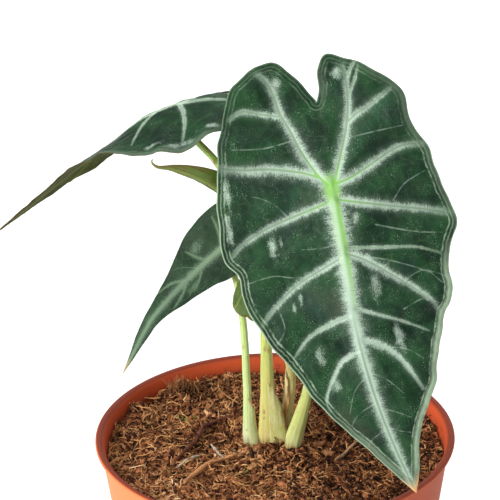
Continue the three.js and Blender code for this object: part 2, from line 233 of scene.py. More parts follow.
def grain(place, scale, detail=2.0, roughness=0.6, distortion=0.0):
    sockets = {"Vector": place, "Scale": scale, "Detail": detail, "Roughness": roughness, "Distortion": distortion}
    return add(treeOf(place), "ShaderNodeTexNoise", sockets).outputs["Fac"]


def cellEdges(place, scale, randomness=1.0):
    sockets = {"Vector": place, "Scale": scale, "Randomness": randomness}
    return add(treeOf(place), "ShaderNodeTexVoronoi", sockets, feature="DISTANCE_TO_EDGE").outputs["Distance"]


def stretched(place, scale):
    return add(treeOf(place), "ShaderNodeMapping", {"Vector": place, "Scale": scale}).outputs[0]


def startMaterial(name, settings):
    material = bpy.data.materials.new(name)
    material.use_nodes = True
    for key, value in settings.items():
        material.node_tree.nodes["Principled BSDF"].inputs[key].default_value = value
    return material, material.node_tree


# Gives the material its colour, its relief of that depth in metres, and its roughness where that varies.
def finishLook(material, colour, relief, depth, strength, rough=None):
    tree = material.node_tree
    raised = add(tree, "ShaderNodeBump", {"Height": relief, "Distance": depth, "Strength": strength}).outputs[0]
    for key, socket in (("Base Color", colour), ("Normal", raised), ("Roughness", rough)):
        if socket is not None:
            tree.links.new(socket, tree.nodes["Principled BSDF"].inputs[key])
    return material


# Camera, lights and floor

camera = {
    "place": (0.0, -0.5984, 0.4130), "turn": 0.61, "down": 23.86, "roll": -0.95,     # metres and degrees
    "lens": 166.85, "sensor": 36,
}

def makeCamera():
    data = bpy.data.cameras.new("camera")
    data.lens = camera["lens"]
    data.sensor_width = camera["sensor"]
    made = bpy.data.objects.new("camera", data)
    bpy.context.scene.collection.objects.link(made)
    turned = Matrix.Rotation(math.radians(camera["turn"]), 4, "Z")
    tilted = Matrix.Rotation(math.radians(90 - camera["down"]), 4, "X")
    rolled = Matrix.Rotation(math.radians(camera["roll"]), 4, "Z")
    made.rotation_euler = (turned @ tilted @ rolled).to_euler()
    made.location = camera["place"]
    bpy.context.scene.camera = made


studio = {
    "lights": [  # name, place, size, watts, colour
        ("key", (-0.95, -0.8, 0.6), 0.5, 20.0, (1.0, 0.98, 0.95)),
        ("top", (-0.1, -0.1, 1.3), 0.9, 9.0, (1.0, 1.0, 1.0)),
        ("back", (0.3, 0.95, 0.8), 0.8, 4.0, (1.0, 1.0, 1.0)),
    ],
    "aim": (0, 0, 0.12),
    "sky": (1.0, 0.55, 0.3),  # low on the left, low on the right, overhead
    "floor": (246, 246, 245), "floorPatch": (243, 243, 241),
    "floorGlow": 0.24,
    "farGlow": 0.5,
    "floorSize": 6.0,
}

def makeStudio():
    for name, place, size, watts, colour in studio["lights"]:
        data = bpy.data.lights.new(name, "AREA")
        data.size = size
        data.energy = watts
        data.color = colour
        made = bpy.data.objects.new(name, data)
        made.location = place
        made.rotation_euler = (Vector(studio["aim"]) - Vector(place)).to_track_quat("-Z", "Y").to_euler()
        bpy.context.scene.collection.objects.link(made)
    world = bpy.data.worlds.new("studio")
    world.use_nodes = True
    sky = world.node_tree
    direction = add(sky, "ShaderNodeTexCoord").outputs["Generated"]
    left, right, high = ((shade, shade, shade, 1) for shade in studio["sky"])
    low = blend(fade(part(direction, 0), -0.3, 0.8), left, right)
    shade = blend(fade(part(direction, 2), 0.1, 0.3), low, high)
    sky.links.new(shade, sky.nodes["Background"].inputs["Color"])
    bpy.context.scene.world = world
    bpy.context.scene.view_settings.view_transform = "Standard"
    half = studio["floorSize"] / 2
    floor = meshObject("floor", [(-half, -half, 0), (half, -half, 0), (half, half, 0), (-half, half, 0)],
                       [(0, 1, 2, 3)])
    material, tree = startMaterial("paleFloor", {"Roughness": 0.7, "Specular IOR Level": 0.2,
                                                 "Emission Color": (1, 1, 1, 1)})
    shader = tree.nodes["Principled BSDF"]
    place = objectPlace(tree)
    shade = blend(grain(place, 9.0), studio["floor"], studio["floorPatch"])
    tree.links.new(shade, shader.inputs["Base Color"])
    away = add(tree, "ShaderNodeVectorMath", {0: place}, operation="LENGTH").outputs["Value"]
    glow = plus(times(fade(away, 0.35, 1.1), studio["farGlow"]), studio["floorGlow"])
    tree.links.new(glow, shader.inputs["Emission Strength"])
    floor.data.materials.append(material)

makeCamera()
makeStudio()
print("camera, lights and floor are in place")

# Leaf blades
# A blade is drawn flat in millimetres, as [along, across] from where the stalk joins it: along runs
# down the midrib to the tip. It is then laid over its midrib, whose stations give a place above the
# mix, the way the upper side faces and the angle by which each half lifts.

frontLeaf = {
    "name": "frontLeaf", "node": "front_leaf_blade", "slot": "dark_leaf",
    "stations": [((12.2, 3, 123), (-0.02, -0.9, 0.42), 4), ((14.4, -5.4, 106), (-0.02, -0.91, 0.4), 2),
                 ((16.4, -13.4, 88.4), (0, -0.93, 0.36), -5), ((19.6, -22.2, 70.8), (0.02, -0.93, 0.36), -8),
                 ((22.2, -29.6, 54.8), (0.02, -0.93, 0.34), -8), ((27, -36, 37.6), (0.02, -0.96, 0.28), -7),
                 ((33, -40, 22), (0.02, -0.98, 0.2), -6), ((39, -41.8, 8.6), (0, -0.99, 0.14), -4)],
    "joins": 2,
    "left": [(-23.5, -1.5), (-27, -4), (-33.5, -8), (-36.5, -13), (-34, -20), (-27, -25.5), (-14, -30),
             (0, -31.5), (13, -33), (20, -30), (30, -28), (41, -22.5), (57, -14.5), (72, -7), (82, -2.6),
             (88.3, 0)],
    "right": [(88.3, 0), (82, 3.8), (72, 8.4), (60, 17), (44, 23.8), (33, 27.8), (22, 29.4), (14, 32.8),
              (5, 30), (-8, 28), (-16, 23.5), (-25, 21.3), (-30, 16), (-34.5, 9.5), (-36.5, 3), (-33, 0.5),
              (-28, -0.2), (-23.5, -1.5)],
    "ripple": (1.2, 17, 0.6), "wiggle": 1.0,
    "midribWidth": (2.8, 1.1),
    # each vein: half width of its silver at the start and at the end, then its route
    "veins": [
        (1.9, 0.9, [(0, 0), (-3.4, -3), (-10, -6.8), (-17.5, -9.8), (-22, -11.8), (-27, -12.8), (-31, -14.4),
                    (-33.4, -16.8)]),
        (1.7, 0.8, [(0, 0.3), (-3.4, 1.7), (-9.6, 3.8), (-15.7, 5.7), (-22.2, 7), (-28.9, 7.3), (-33, 6.6)]),
        (1.0, 0.7, [(-21, -11.4), (-22.3, -17), (-23.6, -22), (-22, -25.8)]),
        (1.6, 1.2, [(-3.4, -3.4), (-5.2, -8), (-6.8, -16), (-7.4, -24), (-8.4, -29.6)]),
        (1.3, 0.7, [(3.2, 0), (4.3, -4), (6, -12), (8.6, -21.6), (11, -27.4), (13.4, -30.4)]),
        (1.3, 0.6, [(19, 0), (21.3, -6), (24.5, -13), (29, -19.4), (33.8, -25.2)]),
        (1.0, 0.35, [(35, 0), (36.4, -6.4), (38.6, -13), (43, -18.4)]),
        (0.9, 0.3, [(45, 0), (46.6, -5.6), (50.6, -9.6), (55.4, -13), (58.6, -12.8)]),
        (1.1, 0.7, [(-17, 5.8), (-19.4, 9), (-22, 14.2), (-25, 18.8)]),
        (1.6, 0.9, [(-1, 0.4), (-2, 5), (-5.2, 11.4), (-8.6, 17.6), (-9.8, 22), (-9.4, 25.6)]),
        (1.5, 1.0, [(3, 0), (4.8, 6), (7.4, 15), (9.8, 24), (12, 30.4)]),
        (1.5, 0.7, [(18, 0), (20.4, 5), (24.6, 11), (29.8, 17.6), (35, 22), (39, 23.4)]),
        (1.3, 0.5, [(42, 0), (44.4, 4.8), (49, 9.2), (55.5, 11.8), (61, 13.2)]),
        (0.7, 0.4, [(-28.9, 7.3), (-32, 9), (-34, 10.6)]),
        (0.6, 0.3, [(-24, 7.2), (-28.6, 9.6), (-32.4, 11)]),
        (0.6, 0.25, [(16.6, 0), (17.4, 5), (18.4, 12), (19.6, 20), (21.8, 26.4)]),
        (0.7, 0.3, [(33, 0), (34.4, 3), (37, 8), (40.2, 13.6), (44.6, 19.6)]),
    ],
    "fineVeins": [
        [(15, 0), (15.7, -4.7), (15.2, -10.8)], [(23.4, -10), (22.6, -15), (21.5, -20), (22.5, -27.4)],
        [(60, 0), (61.4, -6), (64, -8.8)], [(67.4, 0), (69.4, -5.3), (70.8, -6.6)],
        [(20, 6), (22.4, 14), (26, 22), (30, 26)], [(46, 7), (48, 12), (52, 16)], [(36, 14), (34, 20), (36.4, 24)],
        [(61.6, 0), (64, 3.6), (67.4, 7.4)], [(67.4, 0), (69.6, 3), (71.2, 5.6)],
        [(6, -13), (2, -16.6), (-0.6, -22)], [(12, 10), (15.6, 20), (17, 27.8)], [(6, 16), (1.4, 20), (-1.4, 26)],
        [(28, 15), (25.6, 21), (28, 27)], [(-13, 5), (-14.4, 14), (-15, 21)], [(-14, -9), (-12.6, -17), (-13, -26)],
        [(30, -20), (35.6, -19), (38.6, -22)], [(51, 0), (54.6, 4.4), (60, 7.6)], [(52, 0), (55, -4.6), (60.4, -8)],
    ],
    # soft silver patches: place, half length, half width
    "patches": [((13, -18.6), 5.6, 1.9), ((12, -16.2), 2.6, 0.9), ((29, -13.4), 3, 0.9), ((31, -15.4), 2.4, 0.8),
                ((-30, -12), 3.4, 2.6), ((-31, 5), 3.4, 2.4), ((-3, -28.6), 7, 1.5), ((6.5, -29.6), 6, 1.4),
                ((44, 11), 6, 2.4), ((28, 7), 6, 2.6), ((9, 5), 3, 1.8), ((44, -11), 4, 2), ((52, -9), 3, 2)],
    "rimLines": 1.0, "junction": 1.0, "bands": [(18, 86, 1, 1.0), (60, 86, -1, 0.45), (-36, 18, 1, 0.2)],
}

leftLeaf = {
    "name": "leftLeaf", "node": "left_leaf_blade", "slot": "dark_leaf",
    "stations": [((-6.5, 16, 106.2), (0.05, 0.1, 0.99), -16), ((-16, 15.5, 105.6), (0, 0.11, 0.99), -18),
                 ((-23.6, 15, 103.9), (-0.2, 0.08, 0.97), -23), ((-35.6, 14.6, 99.2), (-0.3, 0.08, 0.93), -21),
                 ((-46.4, 14, 91), (-0.42, 0.34, 0.8), -9), ((-55.6, 13.4, 84.4), (-0.42, 0.44, 0.76), -6),
                 ((-66.4, 12.8, 75.8), (-0.45, 0.42, 0.76), -4), ((-82, 12, 63.4), (-0.45, 0.4, 0.76), -4)],
    "joins": 2,
    "left": [(-9, 0), (-13.5, -3), (-18, -7.5), (-16.5, -13), (-9, -17.5), (2, -19), (14, -17.5), (28, -13),
             (42, -7.5), (54, -4.2), (63, -1.8), (69.5, 0)],
    "right": [(69.5, 0), (63, 1.8), (54, 4.2), (42, 7), (28, 14.2), (14, 20), (2, 21.5), (-9, 19), (-16.5, 14),
              (-18, 8), (-13.5, 3), (-9, 0)],
    "ripple": (0.8, 14, 2), "wiggle": 0.5,
    "midribWidth": (0.9, 0.4),
    "veins": [
        (0.9, 0.5, [(2.4, 0.6), (-5, 2.8), (-10, 4.4), (-15, 6.4)]),
        (0.9, 0.5, [(0, 0), (-6, -4), (-12, -8), (-15, -12)]),
        (0.75, 0.35, [(2.4, 0.4), (1.5, 5), (1.6, 10), (2.4, 14.6), (3.2, 17.6)]),
        (0.9, 0.5, [(-2, 0), (-2, -7), (-4, -17)]),
        (0.7, 0.25, [(9.4, 0.4), (12.4, 2.6), (15.2, 5.8), (17.2, 9.6), (18.2, 12.6)]),
        (0.9, 0.5, [(3, 0), (6, -6), (11, -12), (13, -16.4)]), (0.8, 0.4, [(17, 0), (21, -5), (27, -11.6)]),
        (0.5, 0.3, [(20, 0), (24, 3), (29, 6.4), (33, 9)]), (0.6, 0.3, [(32, 0), (37, -3.4), (43, -6)]),
    ],
    "fineVeins": [[(25, 0), (29, 3.4), (34, 6)], [(10, 0), (14, -7), (19, -14)]],
    "patches": [((4, 18.6), 6, 1.8), ((12, 16.4), 5, 1.4), ((-6, 17), 4, 1.6)],
    "rimLines": 0.3, "junction": 0.0, "bands": [(-12, 34, 1, 0.3)],
}

middleLeaf = {
    "name": "middleLeaf", "node": "middle_leaf_blade", "slot": "soft_leaf",
    "stations": [((-4.4, 16.4, 71.6), (-0.25, -0.85, 0.45), 6), ((-9.6, 15.2, 65.4), (-0.25, -0.85, 0.45), 4),
                 ((-14.6, 14, 59.1), (-0.25, -0.85, 0.45), 0), ((-20.8, 12.5, 53.8), (-0.25, -0.85, 0.45), -4),
                 ((-30.2, 10.2, 44.6), (-0.3, -0.85, 0.4), -8), ((-35.6, 8.6, 38.4), (-0.35, -0.85, 0.4), -8),
                 ((-43.6, 6, 23.8), (-0.3, -0.9, 0.3), -4)],
    "joins": 2,
    "left": [(-9, -0.5), (-12.5, -2.5), (-14.5, -6), (-9.5, -9), (-3, -11), (4, -10.6), (10, -8.2), (17, -5.6),
             (27, -3), (37, -1.5), (48.6, 0)],
    "right": [(48.6, 0), (37, 1.5), (28, 2.4), (18, 4.8), (10, 6.8), (1, 8.6), (-8, 8.6), (-14, 6), (-12.5, 2),
              (-9, -0.5)],
    "ripple": (0.5, 11, 1), "wiggle": 0.5,
    "midribWidth": (1.5, 0.6),
    "veins": [
        (0.7, 0.4, [(0, 0), (-5, -3.4), (-10, -6)]), (0.7, 0.4, [(0, 0), (-5, 3), (-10, 5.4)]),
        (0.7, 0.4, [(6, 0), (7.6, -3), (8.9, -6.4)]), (0.6, 0.4, [(0, -0.4), (-3, -4.4), (-5, -8)]),
        (0.5, 0.3, [(8, 0), (11, 2.3), (14.6, 3.6)]), (0.5, 0.3, [(14, 0), (18, -2.6), (23, -3.8)]),
        (0.5, 0.3, [(14, 0), (18, 2), (23, 3)]),
    ],
    "fineVeins": [[(9, 0), (13, -4), (16, -5.4)], [(9, 0), (14, 3), (18, 4)]],
    "patches": [((6, -5), 4, 2.4), ((-5, -5), 3, 2), ((14, 3), 4, 1.4)],
    "rimLines": 0.12, "junction": 0.25, "bands": [],
}

youngLeaf = {
    "name": "youngLeaf", "node": "young_leaf_blade", "slot": "young_leaf",
    "stations": [((-8.6, -4, 41.4), (0.45, 0.85, 0.1), 24), ((-6.4, -3.8, 49.4), (0.45, 0.88, 0), 42),
                 ((-4.4, -3.6, 58), (0.45, 0.88, 0), 60), ((-6, -4, 70), (0.4, 0.88, 0.1), 66),
                 ((-11.4, -4.4, 81.2), (0.35, 0.85, 0.35), 66), ((-19.4, -4.6, 87.8), (0.1, 0.85, 0.45), 60),
                 ((-27, -4.8, 91.2), (0, 0.85, 0.5), 50), ((-31.8, -5, 92), (0.1, 0.85, 0.5), 30),
                 ((-33, -5, 93.6), (0.4, 0.85, 0.3), 20), ((-32.2, -5, 94.6), (0.4, 0.85, 0.3), 10)],
    "joins": 2,
    "left": [(-13.2, 0), (-13.8, -2), (-13.6, -5), (-11.8, -7.8), (-7, -9.6), (0, -9.9), (12, -8.6), (24, -6.6),
             (34, -4.2), (44, -1.4), (48, -0.6), (51.6, 0)],
    "right": [(51.6, 0), (48, 0.6), (44, 1.4), (34, 4.2), (24, 6.6), (12, 8.6), (0, 9.9), (-7, 9.6),
              (-11.8, 7.8), (-13.4, 5), (-13.8, 2), (-13.2, 0)],
    "ripple": (0, 12, 0), "wiggle": 0.0,
    "midribWidth": (0.9, 0.4),
    "veins": [(0.4, 0.2, [(0, 0), (-7, 3.4), (-12, 5)]), (0.4, 0.2, [(0, 0), (-7, -3.4), (-14, -5)]),
              (0.4, 0.2, [(4, 0), (12, 4), (22, 5.6)]), (0.4, 0.2, [(4, 0), (12, -4), (22, -5.6)])],
    "fineVeins": [[(10, 0), (18, 3), (28, 4)], [(10, 0), (18, -3), (28, -4)]],
    "patches": [], "rimLines": 0.3, "junction": 0.0, "bands": [],
}

sheet = {
    "spacing": 0.52,       # between mesh points
    "thickness": 0.34,
    "rimThickness": 0.16,
    "crease": 2.6,         # over which a half turns to its lift
    "puff": 0.8,           # how far the blade rises between its veins
    "ribDepth": 0.75,      # midrib, below
    "ribHeight": 0.42,     # midrib, above
    "groove": 0.3,         # side veins, above
}

def layCurves(blade):
    blade["places"] = np.array([station[0] for station in blade["stations"]], dtype=float)
    blade["places"][:, 2] += mixLevel / mm
    ups = np.array([station[1] for station in blade["stations"]], dtype=float)
    blade["ups"] = ups / np.linalg.norm(ups, axis=1)[:, None]
    blade["lifts"] = np.radians([station[2] for station in blade["stations"]])
    blade["spots"] = np.linspace(0, len(ups) - 1, 401)
    blade["lengths"] = runLengths(alongLine(blade["places"], blade["spots"]))
    blade["joinLength"] = np.interp(blade["joins"], blade["spots"], blade["lengths"])


# Where flat points of a blade lie, in millimetres.
def layFlat(blade, flat):
    along, across = flat[:, 0], flat[:, 1]
    wanted = blade["joinLength"] + along
    length = np.clip(wanted, 0, blade["lengths"][-1])
    spots = np.interp(length, blade["lengths"], blade["spots"])
    last = len(blade["ups"]) - 1
    before = alongLine(blade["places"], np.clip(spots - 0.01, 0, last))
    after = alongLine(blade["places"], np.clip(spots + 0.01, 0, last))
    forward = (after - before) / np.linalg.norm(after - before, axis=1)[:, None]
    centre = alongLine(blade["places"], spots) + forward * (wanted - length)[:, None]
    first = np.clip(np.floor(spots).astype(int), 0, last - 1)
    share = spots - first
    up = blade["ups"][first] * (1 - share)[:, None] + blade["ups"][first + 1] * share[:, None]
    up -= forward * np.sum(up * forward, axis=1)[:, None]
    up /= np.linalg.norm(up, axis=1)[:, None]
    side = np.cross(up, forward)
    lift = blade["lifts"][first] * (1 - share) + blade["lifts"][first + 1] * share
    steps = 12
    step = np.abs(across) / steps
    sideways = np.zeros(len(flat))
    upwards = np.zeros(len(flat))
    for i in range(steps):
        slope = lift * np.tanh((i + 0.5) * step / sheet["crease"])
        sideways += np.cos(slope) * step
        upwards += np.sin(slope) * step
    height, waveLength, start = blade["ripple"]
    edge = np.minimum(np.abs(across) / 20, 1)
    upwards += height * edge ** 2 * np.sin(along * 2 * math.pi / waveLength + start + np.sign(across))
    return centre + side * (np.sign(across) * sideways)[:, None] + up * upwards[:, None]


# A plain smooth flat line through points, with about the given spacing.
def flatLine(points, spacing):
    points = np.array(points, dtype=float)
    ends = np.vstack([points[0], points, points[-1]])
    spots = np.linspace(0, len(points) - 1, 60 * len(points))
    first = np.clip(np.floor(spots).astype(int), 0, len(points) - 2)
    t = (spots - first)[:, None]
    p0, p1, p2, p3 = (ends[first + i] for i in range(4))
    line = 0.5 * (2 * p1 + (p2 - p0) * t + (2 * p0 - 5 * p1 + 4 * p2 - p3) * t ** 2
                  + (3 * p1 - p0 - 3 * p2 + p3) * t ** 3)
    length = runLengths(line)
    wanted = np.linspace(0, length[-1], max(3, round(length[-1] / spacing) + 1))
    return np.stack([np.interp(wanted, length, line[:, i]) for i in (0, 1)], axis=1)


# How far each point lies from a line, and how far along it the nearest place is.
def nearLine(points, line):
    nearest = np.full(len(points), 1e9)
    place = np.zeros(len(points))
    lengths = runLengths(line)
    for i in range(len(line) - 1):
        start, run = line[i], line[i + 1] - line[i]
        share = np.clip(((points - start) @ run) / max(run @ run, 1e-9), 0, 1)
        away = np.linalg.norm(points - start - share[:, None] * run, axis=1)
        closer = away < nearest
        nearest[closer] = away[closer]
        place[closer] = lengths[i] + share[closer] * (lengths[i + 1] - lengths[i])
    return nearest, place, lengths[-1]


def insideOutline(points, outline):
    inside = np.zeros(len(points), dtype=bool)
    x, y = points[:, 0], points[:, 1]
    for (x0, y0), (x1, y1) in zip(outline, np.roll(outline, -1, axis=0)):
        crosses = (y0 > y) != (y1 > y)
        if y0 != y1:
            inside ^= crosses & (x < (x1 - x0) * (y - y0) / (y1 - y0) + x0)
    return inside


def flatMesh(blade, spacing):
    top, tip = blade["left"][0][0], blade["left"][-1][0]
    outline = np.vstack([flatLine(blade["left"], spacing)[:-1], flatLine(blade["right"], spacing)[:-1]])
    place = np.arange(len(outline)) * spacing
    outward = np.roll(outline, 1, axis=0) - np.roll(outline, -1, axis=0)
    outward = np.stack([-outward[:, 1], outward[:, 0]], axis=1) / (np.linalg.norm(outward, axis=1)[:, None] + 1e-9)
    calm = np.clip((tip - 8 - outline[:, 0]) / 20, 0, 1)       # the tip stays smooth
    wave = 0.18 * np.sin(place / 2.3) + 0.1 * np.sin(place / 1.27 + 2) + 0.34 * np.sin(place / 4.9 + 1)
    outline = outline + outward * (blade["wiggle"] * calm * wave)[:, None]
    routes = [[(top + 1.5, 0), (0, 0), (tip - 1, 0)]] + [route for _, _, route in blade["veins"]]
    drawn = np.vstack([flatLine(route, spacing) for route in routes + blade["fineVeins"]])
    low, high = outline.min(axis=0), outline.max(axis=0)
    columns = np.arange(low[0], high[0], spacing * 0.87)
    grid = np.array([(x, y) for i, x in enumerate(columns)
                     for y in np.arange(low[1] + (i % 2) * spacing / 2, high[1], spacing)])
    taken = {(round(x / spacing), round(y / spacing)) for x, y in drawn}
    free = [(round(x / spacing), round(y / spacing)) not in taken for x, y in grid]
    points = np.vstack([drawn, grid[free]])
    points = points[insideOutline(points, outline)]
    away, _, _ = nearLine(points, np.vstack([outline, outline[:1]]))
    points = points[away > spacing * 0.6]
    corners = [Vector(point) for point in np.vstack([outline, points])]
    edges = [(i, (i + 1) % len(outline)) for i in range(len(outline))]
    found = delaunay_2d_cdt(corners, edges, [], 1, spacing * 0.02)
    return np.array([tuple(corner) for corner in found[0]]), [tuple(face) for face in found[2]], outline


# Everything that the relief and the finish need to know about each flat point.
def readBlade(blade, flat, outline):
    along, across = flat[:, 0], flat[:, 1]
    top, tip = blade["left"][0][0], blade["left"][-1][0]
    margin, marginPlace, _ = nearLine(flat, np.vstack([outline, outline[:1]]))
    away, run, _ = nearLine(flat, flatLine([(top + 1, 0), (0, 0), (tip, 0)], 0.5))
    midribAway = away + np.clip(-along / 5, 0, 1) * 6       # no midrib above the joint
    wide, narrow = blade["midribWidth"]
    toTip = np.clip(along / tip, 0, 1)
    ratio = midribAway / (wide + (narrow - wide) * toTip)
    strength = 1 - 0.36 * toTip
    vein = np.full(len(flat), 9.0)
    for k, (start, end, route) in enumerate(blade["veins"]):
        away, place, whole = nearLine(flat, flatLine(route, 0.6))
        share = place / whole
        half = start + (end - start) * place / whole
        closer = away / half < ratio
        ratio = np.where(closer, away / half, ratio)
        run = np.where(closer, place + 37 * (k + 1), run)
        fading = (1 - 0.35 * share) * (1 - 0.6 * np.clip((share - 0.8) / 0.2, 0, 1))
        strength = np.where(closer, fading, strength)
        vein = np.minimum(vein, away)
    fine = np.full(len(flat), 9.0)
    for route in blade["fineVeins"]:
        away, place, whole = nearLine(flat, flatLine(route, 0.6))
        fine = np.minimum(fine, away + 0.12 * place / whole)
    patch = np.zeros(len(flat))
    for (patchAlong, patchAcross), halfLong, halfWide in blade["patches"]:
        far = ((along - patchAlong) / halfLong) ** 2 + ((across - patchAcross) / halfWide) ** 2
        patch = np.maximum(patch, np.exp(-far * 1.2))
    band = np.zeros(len(flat))
    for start, end, side, share in blade["bands"]:
        within = np.clip((along - start) / 10, 0, 1) * np.clip((end - along) / 6, 0, 1)
        band = np.maximum(band, share * within * (np.sign(across) == side))
    return {"midribAway": midribAway, "strength": strength, "band": band, "ratio": ratio, "run": run, "vein": vein,
            "fine": fine, "patch": patch, "margin": margin, "marginPlace": marginPlace, "tip": tip}


# Edges that only one face has.
def openEdges(corners):
    alone = {}
    for face in corners:
        for pair in zip(face, np.roll(face, -1)):
            alone[pair] = pair[::-1] not in alone
            if not alone[pair]:
                alone[pair[::-1]] = False
    return [pair for pair, single in alone.items() if single]


# A soft hump: 1 at no distance, near 0 from twice its width on.
def hump(distance, width):
    return np.exp(-(distance / width) ** 2)


def makeBlade(blade, upper, under):
    layCurves(blade)
    flat, faces, outline = flatMesh(blade, sheet["spacing"])
    facts = readBlade(blade, flat, outline)
    along, across = flat[:, 0], flat[:, 1]
    middle = layFlat(blade, flat)
    corners = np.array(faces)
    a, b, c = (middle[corners[:, i]] for i in range(3))
    faceNormals = np.cross(b - a, c - a)
    normals = np.zeros_like(middle)
    for i in range(3):
        np.add.at(normals, corners[:, i], faceNormals)
    normals /= np.linalg.norm(normals, axis=1)[:, None]
    if normals[np.argmin(np.linalg.norm(flat, axis=1))] @ blade["ups"][blade["joins"]] < 0:
        normals = -normals
        corners = corners[:, ::-1]

    # relief of the two sides: puffed between the veins, ribbed, with fine lines beside the rim
    size = blade["midribWidth"][0] / 2.1        # small leaves have small ribs
    taper = np.clip(1.15 - along / facts["tip"], 0.15, 1)
    mid, side, margin = facts["midribAway"], facts["vein"], facts["margin"]
    clear = np.minimum(mid, side)
    swell = sheet["puff"] * size * (1 - np.exp(-(clear / 4.5) ** 1.5)) * np.clip(margin / 5, 0, 1)
    top = swell + 0.07 * waves(flat, 2.6, 3) * np.clip(clear / 2, 0, 1) + 0.16 * size * waves(flat, 9, 4)
    top += sheet["ribHeight"] * size * taper * hump(mid, 0.95 * size)
    top -= sheet["groove"] * size * hump(side, 0.5 * size) * np.clip(mid / 1.5, 0, 1)
    rim = blade["rimLines"] * (0.7 + 0.3 * np.sin(facts["marginPlace"] / 4.3))
    top += rim * (0.13 * hump(margin - 2.2, 0.35) - 0.2 * hump(margin - 1.3, 0.6))
    top += 0.1 * rim * hump(margin, 0.4)
    fineRise = 0.07 * hump(facts["fine"], 0.35)
    bottom = top * 0.75 - sheet["thickness"] + 0.9 * fineRise
    bottom -= sheet["ribDepth"] * size * taper * hump(mid, 1.1 * size)
    bottom -= 0.4 * size * hump(side, 0.7 * size)
    edge = np.clip(margin / 0.5, 0, 1)
    bottom = bottom * edge + (top - sheet["rimThickness"]) * (1 - edge)
    upperSide = middle + normals * (top + fineRise)[:, None]
    lowerSide = middle + normals * bottom[:, None]

    count = len(flat)
    faces = [tuple(face) for face in corners]
    faces += [tuple(count + corner for corner in face[::-1]) for face in corners]
    faces += [(second, first, count + first, count + second) for first, second in openEdges(corners)]
    made = meshObject(blade["name"], np.vstack([upperSide, lowerSide]) * mm, faces)
    sides = np.zeros(len(faces), dtype=np.int32)
    sides[len(corners):] = 1
    junction = hump(np.linalg.norm(flat * (0.75, 1.2), axis=1), 3.1)
    stripe = hump(across - 0.8, 0.9) * np.clip((50 - along) / 42, 0, 0.8) * (along > 0)
    numbers = {
        "ratio": np.minimum(facts["ratio"], 5), "run": facts["run"], "centre": np.minimum(side, 5),
        "midrib": np.minimum(mid, 9), "rib": np.minimum(mid / (size * (0.3 + 0.7 * taper)), 9),
        "fine": np.minimum(facts["fine"], 5), "margin": np.minimum(margin, 9), "patch": facts["patch"],
        "green": np.maximum(junction, stripe) * blade["junction"],
        "glow": hump(np.linalg.norm(flat, axis=1), 11) * blade["junction"],
        "strength": facts["strength"], "band": facts["band"],
        "rimLines": blade["rimLines"] * (0.35 + 0.65 * np.clip((along + 16) / 10, 0, 1)),
        "tip": np.clip((along - facts["tip"] + 6) / 6, 0, 1), "share": along / facts["tip"],
    }
    for name, values in numbers.items():
        addNumbers(made, name, np.tile(values, 2))
    addFlatMap(made, np.tile(along / 10, 2), np.tile(across / 10, 2))
    finishPiece(made, blade["slot"], blade["node"], upper, under, sides=sides)


# the blue-green and brownish shades are painted sheen, standing in for reflections on the blade
darkLook = {
    "deep": (12, 34, 20), "green": (26, 62, 32), "paintedSheenTeal": (40, 70, 58), "paintedSheenBrown": (54, 54, 38),
    "silver": (170, 190, 174), "line": (70, 98, 60), "bright": (118, 172, 76), "pale": (150, 188, 128),
    "rib": (72, 104, 70), "ribShare": 0.45, "marginPale": (148, 170, 144), "tip": (206, 158, 100),
    "silverShare": 0.95, "speck": (156, 182, 160), "dark": (10, 28, 18),
}
softLook = {
    "deep": (18, 38, 22), "green": (30, 58, 34), "paintedSheenTeal": (50, 74, 56), "paintedSheenBrown": (44, 56, 38),
    "silver": (116, 140, 118), "line": (80, 108, 74), "bright": (130, 160, 108), "pale": (150, 174, 140),
    "rib": (104, 130, 98), "ribShare": 0.3, "marginPale": (84, 112, 80), "tip": (190, 160, 116),
    "silverShare": 0.66, "speck": (120, 146, 124), "dark": (28, 48, 34),
}

